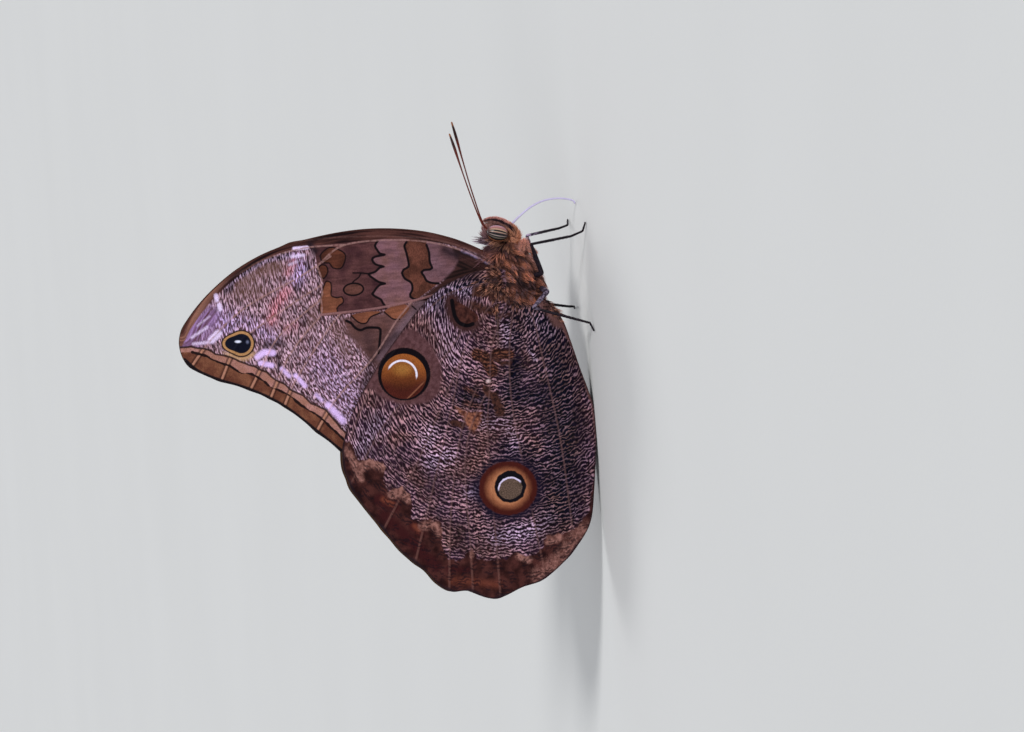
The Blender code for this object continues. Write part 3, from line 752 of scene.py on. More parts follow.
# The antennae are thin ringed rods, red-brown and darker at their swollen tips. The proboscis is a
# pair of grooved lilac half tubes held together, bowed out and down to the ground.
ANTENNAE = {
    "right": ((19.5, 0.5, 13.8, 0.24), (20.9, 0.85, 14.75, 0.13), (25.8, 2.2, 16.2, 0.105),
              (30.5, 3.8, 17.4, 0.115), (34.2, 5.1, 18.3, 0.22), (36.5, 5.9, 18.9, 0.12)),
    "left": ((19.5, 0.5, 13.8, 0.24), (20.9, 0.85, 14.7, 0.13), (24.9, 2.2, 15.8, 0.105),
             (29.4, 3.8, 16.8, 0.115), (32.9, 5.1, 17.5, 0.22), (35.1, 5.9, 18.0, 0.12)),
}
PROBOSCIS = (
    (19.5, 0.0, 11.2, 0.24), (20.3, 0.0, 10.3, 0.21), (21.5, 0.0, 8.9, 0.2), (22.8, 0.0, 7.0, 0.19),
    (23.6, 0.0, 4.9, 0.18), (23.75, 0.0, 2.6, 0.17), (23.3, 0.0, 0.6, 0.16), (22.7, 0.0, 0.2, 0.15),
)


def ringed(count):
    """Even rings along a limb, as a wave of its share of length."""
    return maths("SINE", times("length_share", 2 * math.pi * count))


def antenna_paint():
    rings = ringed(44)
    mist = mottle(in_mm(), 4.0)
    colour = layered(
        tinted(mist, (0.06, 0.008, 0.005), (0.16, 0.022, 0.012)),
        (fade(rings, -0.9, -0.4, 0.25, 0.0), (0.02, 0.007, 0.006)),
        (fade("length_share", 0.8, 0.88), (0.03, 0.01, 0.009)),
        (fade("length_share", 0.955, 0.975), (0.26, 0.09, 0.035)),
    )
    return colour, fade(mist, 0.3, 0.7, 0.55, 0.35), rings, 0.012


def proboscis_paint():
    mist = mottle(in_mm(), 3.0)
    colour = tinted(fade(maths("ABSOLUTE", "front"), 0.93, 0.99, 0.0, 0.6),
                    tinted(mist, (0.46, 0.4, 0.62), (0.7, 0.64, 0.88)), (0.16, 0.09, 0.12))
    return colour, fade(mist, 0.3, 0.7, 0.42, 0.26), ringed(90), 0.006


antenna_finish = finish_of("antenna_shell", antenna_paint, Specular_IOR_Level=0.15)
for side, rows in ANTENNAE.items():
    made = limb(f"antenna_{side}_rod", curve_through(rows, 0.1), 16, antenna_finish, side == "right")
    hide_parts(f"antenna_{side}")
made = limb("proboscis_tube", curve_through(PROBOSCIS, 0.1), 20,
            finish_of("proboscis_shell", proboscis_paint), groove=0.3, floor_level=0.0)
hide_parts("proboscis")


# The legs stand on four feet: a thick femur, a thin tibia with spurs, and a tarsus of five short
# joints. The first pair are small brushes folded against the breast.
LEGS = {
    "foreleg_left": ((15.0, 1.4, 9.6), (17.4, 1.8, 8.8), (15.6, 1.2, 7.0)),
    "midleg_left": ((12.6, 1.6, 7.6), (13.0, 2.5, 6.4), (18.5, 4.2, 7.5), (19.3, 7.3, 2.0),
                    (19.7, 8.3, 0.5), (20.6, 10.2, 0.2)),
    "midleg_right": ((12.2, 1.6, 7.6), (12.5, 2.5, 6.5), (17.0, 4.2, 8.0), (17.7, 7.3, 2.2),
                     (18.3, 8.3, 0.5), (19.6, 10.2, 0.2)),
    "hindleg_left": ((10.4, 1.6, 6.9), (9.7, 2.8, 5.7), (8.4, 5.2, 8.0), (7.2, 7.7, 1.6), (7.1, 8.5, 0.5),
                     (6.8, 10.2, 0.2)),
    "hindleg_right": ((10.4, 1.6, 6.9), (9.6, 2.8, 5.9), (7.3, 5.2, 8.6), (4.8, 7.7, 1.8), (4.3, 8.5, 0.5),
                      (3.0, 10.2, 0.2)),
}
LEGS["foreleg_right"] = LEGS["foreleg_left"]
WALKING_RADII = ((0.42, 0.38), (0.36, 0.24), (0.21, 0.18), (0.18, 0.16), (0.16, 0.14))
WALKING_SWELL = (0.0, 0.16, 0.08, 0.0, 0.0)
BRUSH_RADII = ((0.3, 0.28), (0.28, 0.2))
LEG_SIDES = 16
TARSUS_JOINTS = 4.0
# Painted highlight: lilac spots along the lit upper edge of two knees, as a line, its reach and its
# strength
KNEE_HIGHLIGHTS = {
    "midleg_left": (((16.4, 3.5, 7.1), (18.5, 4.2, 7.5), (18.6, 4.6, 6.9)), 1.2, 1.0),
    "hindleg_right": (((9.6, 2.8, 5.9), (7.3, 5.2, 8.6)), 0.7, 0.5),
}
LEG_STEP = 0.1


def leg_rows(joints, radii, swells):
    """A dense path through a leg's joints, with the knees a little rounded, and its radius."""
    rows = []
    for number, (start, end) in enumerate(zip(joints, joints[1:])):
        start, end = np.array(start), np.array(end)
        size = np.linalg.norm(end - start)
        t = np.arange(0, 1, LEG_STEP / size)
        radius = radii[number][0] * (1 - t) + radii[number][1] * t
        radius = radius * (1 + swells[number] * np.sin(math.pi * t))
        if number == len(joints) - 2 and len(joints) > 3:
            radius = radius * (1 - 0.2 * np.abs(np.cos(math.pi * TARSUS_JOINTS * t)) ** 6)
        rows.append(np.column_stack([start + (end - start) * t[:, None], radius]))
    rows = np.vstack([*rows, (*joints[-1], radii[-1][1])])
    padded = np.vstack([rows[:1]] * 2 + [rows] + [rows[-1:]] * 2)
    return np.array([padded[i:i + 5].mean(0) for i in range(len(rows))])


def leg_paint():
    where = in_mm()
    scales = mottle(where, 7.0, 3.0)
    colour = tinted(mottle(where, 1.4, 2.0, 0.2), (0.003, 0.0015, 0.003), (0.014, 0.008, 0.014))
    colour = tinted(fade(scales, 0.58, 0.72, 0.0, 0.4), colour, (0.12, 0.085, 0.14))
    # Lilac spots painted as highlight where the knees catch the light
    knee_highlight = tinted(fade(mottle(where, 2.4, 2.0), 0.42, 0.62), (0.05, 0.035, 0.06), (0.56, 0.43, 0.62))
    colour = tinted("pale", colour, knee_highlight)
    return colour, fade(scales, 0.3, 0.7, 0.65, 0.38), scales, 0.03


def bristle_paint():
    tone = mottle(in_mm(), 5.0)
    colour = tinted(tone, (0.006, 0.003, 0.005), (0.045, 0.027, 0.036))
    return colour, fade(tone, 0.3, 0.7, 0.6, 0.4), tone, 0.005


leg_finish = finish_of("leg_scales", leg_paint, Specular_IOR_Level=0.12)
bristle_finish = finish_of("leg_bristles", bristle_paint, Specular_IOR_Level=0.2)
bristle = lock("bristle", 2, 0.36, 0.03, 0.022, 0.1, 14, (0.0, 0.6, 1.0))
for number, (name, joints) in enumerate(LEGS.items()):
    walking = len(joints) > 3
    rows = leg_rows(joints, WALKING_RADII if walking else BRUSH_RADII,
                    WALKING_SWELL if walking else (0.1, 0.1))
    brush_finish = leg_finish if walking else skin.data.materials[0]
    made = limb(f"{name}_shell", rows, LEG_SIDES, brush_finish, name.endswith("right"), floor_level=0.0,
                fur=(1, 1) if walking else (1.1, 1.3, 1.5, 1.3, 1.0))
    here = points_of(made) * (1, -1 if name.endswith("right") else 1, 1)
    # The knee highlight, where this leg has one, is painted from the table above
    line, reach, strength = KNEE_HIGHLIGHTS.get(name, ((joints[1], joints[2]), 0.3, 0.0))
    store(made, "pale", strength * np.exp(-((nearest(line, here)[0] / reach) ** 2)))
    store(made, "ventral", np.full(len(here), 0.55))
    store(made, "clump", np.full(len(here), 0.6))
    share = np.linspace(0, 1, len(rows)).repeat(LEG_SIDES)
    store(made, "growth", steady(0.42, 0.5, share) if walking else np.ones(len(share)))
    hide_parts(name)
    if walking:
        hair = coat_on(f"{name}_bristles", made, bristle, "growth", 0.3, 0.55, 0.2, 30 + number,
                       bristle_finish)
    else:
        hair = coat_on(f"{name}_hair", made, head_tuft, "growth", 0.13, 0.35, 0.25, 30 + number,
                       coat_finish)
put_away(bristle, head_tuft)


# The wings are thin dry membranes, two pairs, closed over the back. Each is cut from a fine sheet
# whose outer face carries the raised veins, with every marking laid on as a distance from its line.
MEMBRANE = 0.16
WING_GRAIN = 0.17
INNER_GRAIN = 1.1
EDGE_STEP = 0.3
VEIN_RISE = 0.13
VEIN_REACH = 0.2
CELL_SAG = 0.1
SCALLOP = 0.22
FOREWING_OFFSET = 0.43
FOREWING_ROOT = np.array((14.0, 13.5))
ROOT_RISE, ROOT_REACH = 0.9, 5.0
MARGIN_FLARE, FLARE_REACH = 0.45, 58.0
WING_STEP = 1.1
ABDOMEN_BULGE, BULGE_REACH = 1.45, 3.2
FINER_FRONT = 0.3
ABDOMEN_LINE = np.array([row[:2] for row in ABDOMEN])


def forewing_side(points):
    """How far the middle of a forewing stands from the plane between the wings."""
    from_root = np.linalg.norm(points - FOREWING_ROOT, axis=1)
    lift = ROOT_RISE * np.exp(-((from_root / ROOT_REACH) ** 2))
    return FOREWING_OFFSET + lift + MARGIN_FLARE * (from_root / FLARE_REACH) ** 4


def hindwing_side(points):
    """The same for a hindwing, which lies outside the forewing and swells round the abdomen."""
    bulge = ABDOMEN_BULGE * np.exp(-((nearest(ABDOMEN_LINE, points)[0] / BULGE_REACH) ** 2))
    return forewing_side(points) + WING_STEP + bulge * (1 - steady(5.5, 9.5, points[:, 0]))


def inside(outline, points):
    """Which points lie inside a closed outline."""
    odd = np.zeros(len(points), bool)
    x, z = points.T
    for (ax, az), (bx, bz) in zip(outline, np.roll(outline, -1, axis=0)):
        if az != bz:
            odd ^= ((az > z) != (bz > z)) & (x < ax + (z - az) * (bx - ax) / (bz - az))
    return odd


def outside_by(outline, points):
    """How far each point lies outside a closed outline, negative inside it."""
    outline = np.array(outline, float)
    apart = nearest(np.vstack([outline, outline[:1]]), points)[0]
    return np.where(inside(outline, points), -apart, apart)


def lattice(edge, spacing):
    """A triangular lattice of points inside an outline."""
    low, high = edge.min(0), edge.max(0)
    rows = []
    for row, z in enumerate(np.arange(low[1], high[1], spacing * math.sqrt(0.75))):
        x = np.arange(low[0] + spacing / 2 * (row % 2), high[0], spacing)
        rows.append(np.column_stack([x, np.full(len(x), z)]))
    points = np.vstack(rows)
    return points[outside_by(edge, points) < -0.5 * spacing]


def sheet_faces(edge, filling):
    """The triangles of a flat sheet through its edge and the points that fill it."""
    points = np.vstack([edge, filling])
    border = [list(range(len(edge)))]
    flat, _, faces, _, _, owners = delaunay_2d_cdt([Vector(p) for p in points], [], border, 1, 1e-5, True)
    if len(flat) != len(points):
        raise ValueError("the sheet's points run into one another")
    kept = [tuple(face) for face, owner in zip(faces, owners) if owner]
    return points, kept


def wing_plan(outline, veins, side_of):
    """The two faces of a wing, the fine outer one and the plainer inner one, with one edge."""
    edge = curve_through(outline, EDGE_STEP, closed=True)
    middle = edge.mean(0)
    outwards = (edge - middle) / np.linalg.norm(edge - middle, axis=1)[:, None]
    ends = np.array([vein[-1] for vein in veins])
    from_end = np.linalg.norm(edge[:, None] - ends, axis=2).min(1)
    edge = edge + outwards * (SCALLOP * (np.exp(-((from_end / 1.3) ** 2)) - 0.4))[:, None]
    edge[:, 1] = np.maximum(edge[:, 1], 0.05)
    lines = [curve_through(vein, 0.7) for vein in veins]
    outer, outer_faces = sheet_faces(edge, lattice(edge, WING_GRAIN))
    inner, inner_faces = sheet_faces(edge, lattice(edge, INNER_GRAIN))
    sides = []
    for points in (outer, inner):
        from_vein = np.min([nearest(line, points)[0] for line in lines], axis=0)
        sag = CELL_SAG * (1 - np.exp(-((from_vein / 1.4) ** 2)))
        sides.append((side_of(points) - sag, from_vein))
    ridge = VEIN_RISE * np.exp(-((sides[0][1] / VEIN_REACH) ** 2))
    return {
        "edge": edge,
        "outer": outer,
        "outer_faces": outer_faces,
        "outer_side": sides[0][0] + MEMBRANE / 2 + ridge,
        "inner": inner,
        "inner_faces": inner_faces,
        "inner_side": sides[1][0] - MEMBRANE / 2,
        "vein": sides[0][1],
    }


def wing_piece(name, plan, marks, mirrored, outer_finish, inner_finish):
    """One wing. A mirrored one is the right-hand wing, whose faces run the other way round."""
    count = len(plan["outer"])
    turn = -1 if mirrored else 1
    outer = np.column_stack([plan["outer"][:, 0], turn * plan["outer_side"], plan["outer"][:, 1]])
    inner = np.column_stack([plan["inner"][:, 0], turn * plan["inner_side"], plan["inner"][:, 1]])
    rim = len(plan["edge"])
    faces = [tuple(reversed(face)) for face in plan["outer_faces"]]
    outer_count = len(faces)
    faces += [tuple(v + count for v in face) for face in plan["inner_faces"]]
    faces += [(a, (a + 1) % rim, (a + 1) % rim + count, a + count) for a in range(rim)]
    if mirrored:
        faces = [tuple(reversed(face)) for face in faces]
    made = piece(name, np.vstack([outer, inner]), faces, outer_finish, inner_finish)
    which = np.ones(len(faces), np.int32)
    which[:outer_count] = 0
    made.data.polygons.foreach_set("material_index", which)
    for mark, values in marks.items():
        store(made, mark, np.concatenate([values, np.zeros(len(inner))]))
    made.data.set_sharp_from_angle(angle=math.radians(60))
    return made


def ripple_place(points, centre):
    """Where each point lies across and along the ripples, which run in arcs about a centre and lie
    closer together towards the front edge."""
    from_centre = points - centre
    across = np.linalg.norm(from_centre, axis=1)
    turn = np.arctan2(from_centre[:, 1], -from_centre[:, 0])
    return across * (1 + FINER_FRONT * steady(0.5, 1.7, turn)), across * turn


# The ripple is the fine watered pattern of both wings: wavy dark and pale lines, broken and forked.
# The wings share one group of nodes for it, each with its own wave, reach, pale share and breaks.
ripple_inputs = dict.fromkeys(("Across", "Along", "Wave", "Reach", "Pale share", "Breaks"), "Float")
ripple, ripple_in, ripple_out = new_group(
    "ShaderNodeTree", "ripple", ripple_inputs, {"Stroke": "Float", "Beads": "Float"})
flat_place = node("ShaderNodeCombineXYZ", (ripple_in["Across"], ripple_in["Along"])).outputs[0]
waved = plus(ripple_in["Across"], times(mottle(flat_place, 0.9, 3.0), 1.3))
cell = times(ripple_in["Wave"], 2.0)
grid = node("ShaderNodeCombineXYZ", (
    maths("DIVIDE", waved, cell), maths("DIVIDE", ripple_in["Along"], times(cell, ripple_in["Reach"]))))
waves = node("ShaderNodeTexGabor", {
    "Vector": grid.outputs[0], "Scale": 1.0, "Frequency": 2.0, "Anisotropy": 0.97, 4: 0.0}, gabor_type="2D")
crest = maths("COSINE", times(waves.outputs["Phase"], 2 * math.pi))
gaps = minus(mottle(flat_place, 2.9, 0.5), 0.5)
level = times_plus(gaps, times(ripple_in["Breaks"], 7.0), times_plus(ripple_in["Pale share"], -2.0, 1.0))
feed(ripple_out[0], fade(minus(crest, level), -0.55, 0.55))
feed(ripple_out[1], fade(mottle(flat_place, 1.9, 1.0), 0.3, 0.7, 0.4, 1.6))


def rippled(wave, reach, pale_share, breaks):
    """The strokes of the ripple, and the beads of light and shade along them."""
    made = effect(ripple, Across="across", Along="along", Wave=wave,
                  Reach=reach, Pale_share=pale_share, Breaks=breaks)
    return made[0], made[1]


def streaks(where, distance, width):
    """Thin lines that keep their distance from an edge, as a soft random value about 0.5."""
    placed = node("ShaderNodeCombineXYZ", (maths("DIVIDE", distance, width),))
    spread = node("ShaderNodeVectorMath", (where, (0.12, 0.12, 0.12), placed.outputs[0]),
                  operation="MULTIPLY_ADD")
    return mottle(spread.outputs[0], 1.0, 2.0, 0.16)


# The eyespots lie level with the picture's edge, so each is drawn from a centre with its own
# across and up, turned a little against the body's axes.
SPOT_TURN = math.radians(4.53)


def from_spot(where, centre, size=(1.0, 1.0), turn=0.0):
    """Places about an eyespot's centre: across, up, and the distance in shares of its size."""
    angle = SPOT_TURN + turn
    parted = node("ShaderNodeSeparateXYZ", (where,))
    ahead = minus(parted.outputs["X"], centre[0])
    above = minus(parted.outputs["Z"], centre[1])
    across = times_plus(ahead, -math.sin(angle), times(above, -math.cos(angle)))
    up = times_plus(ahead, math.cos(angle), times(above, -math.sin(angle)))
    across_share, up_share = maths("DIVIDE", across, size[0]), maths("DIVIDE", up, size[1])
    square = times_plus(across_share, across_share, times(up_share, up_share))
    return across, up, maths("SQRT", square)


def scale_grain(where):
    """The wing scales: a fine grain laid along the wing, for colour and height."""
    return mottle(stretched(where, (1.0, 1.0, 2.2)), 5.5, 3.0)


def line(*numbers):
    """The places of a line, from their X and Z one after another."""
    return np.reshape(numbers, (-1, 2))


# The forewing stands behind: brown with zigzag lines and rust patches in its cell, rippled pink and
# lilac outside it, the lilac being painted sheen, with one small eyespot near the tip and a banded outer
# margin.
FOREWING = line(
    14.6, 12.9, 16.4, 14.6, 17.8, 16.9, 19.2, 20.0, 20.5, 24.3, 21.3, 29.6, 21.4, 35.0, 20.7, 41.2,
    19.3, 47.4, 17.0, 52.6, 13.8, 57.1, 10.5, 60.4, 7.8, 62.1, 5.8, 62.6, 3.5, 62.0, 1.7, 60.2, 0.1, 57.2,
    -1.9, 52.2, -4.9, 47.2, -9.6, 42.0, -13.2, 38.0, -15.5, 34.2, -14.7, 30.8, -8.4, 26.6, 0.4, 21.3,
    7.6, 16.1, 11.2, 12.0)
FOREWING_VEINS = (
    line(13.9, 12.6, 16.9, 16.9, 19.0, 22.8, 20.0, 30.0, 20.4, 37.5, 20.2, 44.3),
    line(13.6, 12.9, 17.0, 18.4, 19.1, 26.0, 19.2, 35.9, 16.3, 40.6),
    line(19.2, 35.9, 19.1, 43.0, 17.4, 50.0, 13.6, 56.3, 8.0, 61.4),
    line(17.6, 38.4, 14.9, 43.3, 10.9, 51.9, 6.6, 57.4, 2.0, 61.4),
    line(16.3, 40.6, 13.5, 40.2, 11.8, 43.1, 6.9, 51.6, 4.2, 54.4, -0.8, 57.0),
    line(13.5, 40.2, 11.3, 40.4, 9.0, 43.5, 5.8, 47.5, 1.7, 50.2, -2.6, 52.8),
    line(11.3, 40.4, 8.8, 40.6, 6.5, 42.9, 2.4, 46.3, -4.6, 50.0),
    line(8.8, 37.6, 5.1, 40.8, -0.9, 45.3, -6.0, 48.0),
    line(9.7, 26.5, 7.0, 29.1, 1.6, 33.2, -4.2, 39.3, -9.6, 43.2),
    line(12.8, 12.2, 11.4, 18.9, 9.9, 26.0, 9.1, 32.4, 8.8, 40.6),
    line(11.9, 12.4, 8.1, 22.2, 1.0, 28.9, -7.8, 34.2, -13.0, 39.4),
)
COSTA_POINTS = 13
TIP_POINT, TORNUS_POINT = 14, 22
FOREWING_RIPPLE_CENTRE = np.array((45.3, -1.9))
# Pattern lines, from the head outwards
INNER_LINE = line(
    18.2, 23.6, 17.0, 23.3, 15.6, 23.3, 14.6, 23.0, 14.4, 23.4, 14.4, 24.3, 14.1, 24.7, 13.4, 24.3,
    12.7, 24.0, 12.3, 23.1, 12.2, 22.2)
MIDDLE_LINE = line(
    18.9, 26.6, 18.3, 27.0, 17.4, 26.8, 16.1, 26.6, 15.1, 26.6, 14.7, 27.4, 14.2, 27.7, 13.3, 27.3,
    12.9, 26.7, 12.4, 26.3, 11.5, 26.3, 10.9, 26.7, 10.5, 26.7, 10.1, 26.2, 10.0, 25.7)
ZIGZAG_LINE = line(
    19.4, 31.0, 18.7, 31.5, 18.0, 31.2, 17.4, 30.8, 17.2, 30.1, 17.0, 31.6, 16.6, 32.1, 15.9, 31.7,
    15.6, 31.0, 15.4, 30.4, 15.3, 31.0, 14.7, 31.8, 14.4, 32.8, 13.7, 32.1, 13.1, 31.3, 12.8, 30.4,
    12.7, 31.1, 12.3, 31.7, 11.7, 32.2, 11.4, 32.5, 10.9, 32.0, 10.4, 31.2, 9.9, 31.0, 9.4, 30.7,
    9.0, 30.6)
STEP_LINE = line(
    7.6, 36.8, 7.2, 36.1, 6.4, 35.5, 6.0, 34.7, 6.3, 33.7, 6.1, 31.9, 5.5, 31.7, 4.3, 31.9, 3.2, 32.1,
    2.3, 32.3)
LOOSE_LINES = (
    line(14.5, 32.8, 14.7, 34.0, 14.8, 35.2),
    line(14.7, 34.0, 14.1, 34.3, 13.6, 35.1, 13.2, 35.5),
    line(8.3, 36.0, 7.2, 34.9, 7.0, 33.8, 7.9, 33.0, 8.4, 31.4),
    line(8.5, 30.9, 8.0, 30.4, 7.3, 29.6, 7.2, 28.6),
    line(9.1, 26.6, 8.5, 26.0),
)
RUST_PATCHES = (
    line(
        18.8, 38.9, 18.9, 37.9, 18.2, 36.6, 17.5, 36.1, 16.2, 36.5, 15.6, 37.1, 15.8, 38.2, 16.6, 38.7,
        16.7, 39.6, 17.8, 40.0),
    line(16.4, 40.0, 16.2, 39.2, 15.3, 39.0, 14.3, 39.7, 14.8, 40.4, 15.7, 40.5),
    line(
        9.0, 40.6, 11.4, 40.4, 13.2, 39.8, 13.9, 39.3, 13.6, 38.7, 12.5, 38.7, 11.6, 38.8, 11.2, 37.9,
        11.3, 37.2, 10.5, 37.0, 10.0, 37.7, 9.6, 38.1, 8.9, 38.0),
    line(8.3, 36.0, 7.2, 34.9, 7.0, 33.8, 7.9, 33.0, 8.6, 31.4, 8.7, 34.0),
    line(8.6, 30.9, 8.0, 30.4, 7.3, 29.6, 7.2, 28.6, 8.8, 27.0, 9.6, 28.6),
)
OVAL_CENTRE, OVAL_SIZE = (12.3, 35.3), (0.92, 1.53)
PALE_ZONE = np.vstack((ZIGZAG_LINE, MIDDLE_LINE[::-1], line(19.9, 26.7, 20.1, 31.0)))
BASE_ZONE = np.vstack((INNER_LINE, line(
    15.1, 17.1, 14.2, 15.8, 15.8, 17.0, 17.2, 19.2, 18.3, 21.4, 19.2, 23.6)))
BAR_ZONE = np.vstack((MIDDLE_LINE, INNER_LINE[::-1], line(19.2, 23.6, 19.7, 26.6)))
CELL_ZONE = np.vstack((ZIGZAG_LINE, line(
    8.8, 30.6, 8.6, 36.0, 8.6, 40.4, 11.1, 40.5, 13.4, 39.9, 16.3, 40.6, 19.7, 40.9, 20.1, 35.9,
    20.1, 31.0)))
SMOOTH_ZONE = line(
    8.8, 30.6, 10.1, 25.4, 12.6, 20.0, 5.3, 25.5, 2.6, 28.6, -0.6, 32.4, 1.0, 33.9, 3.0, 35.2, 5.6, 37.2,
    8.1, 37.6)
COSTAL_LINE = line(
    14.3, 13.3, 15.5, 14.6, 17.1, 17.7, 18.2, 20.9, 18.9, 24.0, 19.4, 27.2, 19.6, 30.4, 19.6, 33.7,
    19.5, 36.9, 19.5, 40.1, 19.6, 42.1, 19.1, 44.0, 18.5, 46.7, 17.6, 49.3, 16.2, 52.0, 14.5, 54.4,
    12.6, 56.8, 10.3, 59.0, 8.2, 60.7, 5.7, 62.2)
COSTA_BEYOND = line(5.7, 70.0, 40.0, 70.0, 40.0, 0.0, 14.3, 0.0)
ROOT_ZONE = line(
    17.6, 19.9, 17.1, 17.7, 15.5, 14.6, 11.2, 12.0, 11.4, 15.4, 10.6, 19.0, 9.4, 23.0, 9.8, 25.8,
    11.1, 23.8, 12.2, 22.0, 14.2, 19.7, 15.4, 19.0)
BAND_LINE = line(
    5.5, 60.8, 5.0, 58.7, 4.7, 57.9, 4.1, 57.2, 3.8, 56.0, 3.4, 54.8, 2.8, 53.8, 2.2, 52.5, 1.8, 51.4,
    1.3, 50.7, 0.8, 49.6, 0.0, 48.9, -0.6, 48.2, -1.3, 47.0, -2.3, 46.1, -3.2, 44.3, -4.5, 43.2,
    -5.7, 41.0, -6.7, 40.3, -8.7, 38.9, -14.0, 33.6)
BAND_MIDDLE = line(
    4.7, 60.7, 3.9, 58.6, 2.9, 57.0, 2.1, 55.1, 0.9, 53.5, 0.7, 52.0, -0.6, 50.1, -1.6, 49.1, -2.3, 47.6,
    -3.3, 46.1, -4.7, 44.7, -6.7, 42.1, -9.2, 39.7, -14.6, 35.0)
EDGE_BEYOND = line(-30.0, 33.0, -30.0, 75.0, 5.5, 75.0)

forewing = wing_plan(FOREWING, FOREWING_VEINS, forewing_side)
sheet = forewing["outer"]
across, along = ripple_place(sheet, FOREWING_RIPPLE_CENTRE)
oval_angles = np.arange(25) * 2 * math.pi / 24
oval = np.column_stack([OVAL_CENTRE[0] + OVAL_SIZE[0] * np.cos(oval_angles),
                        OVAL_CENTRE[1] + OVAL_SIZE[1] * np.sin(oval_angles)])
closed_patches = [curve_through(patch, 0.5, closed=True) for patch in RUST_PATCHES]
drawn = [(curve_through(line, 0.4), 0.17) for line in (INNER_LINE, MIDDLE_LINE, ZIGZAG_LINE)]
drawn += [(curve_through(STEP_LINE, 0.4), 0.19)]
drawn += [(curve_through(line, 0.4), 0.11) for line in LOOSE_LINES]
drawn += [(np.vstack([patch, patch[:1]]), 0.1) for patch in closed_patches[:3]]
drawn += [(oval, 0.13)]
costa_line = curve_through(FOREWING[:COSTA_POINTS], 0.5)
outer_margin = curve_through(FOREWING[TIP_POINT:TORNUS_POINT], 0.5)
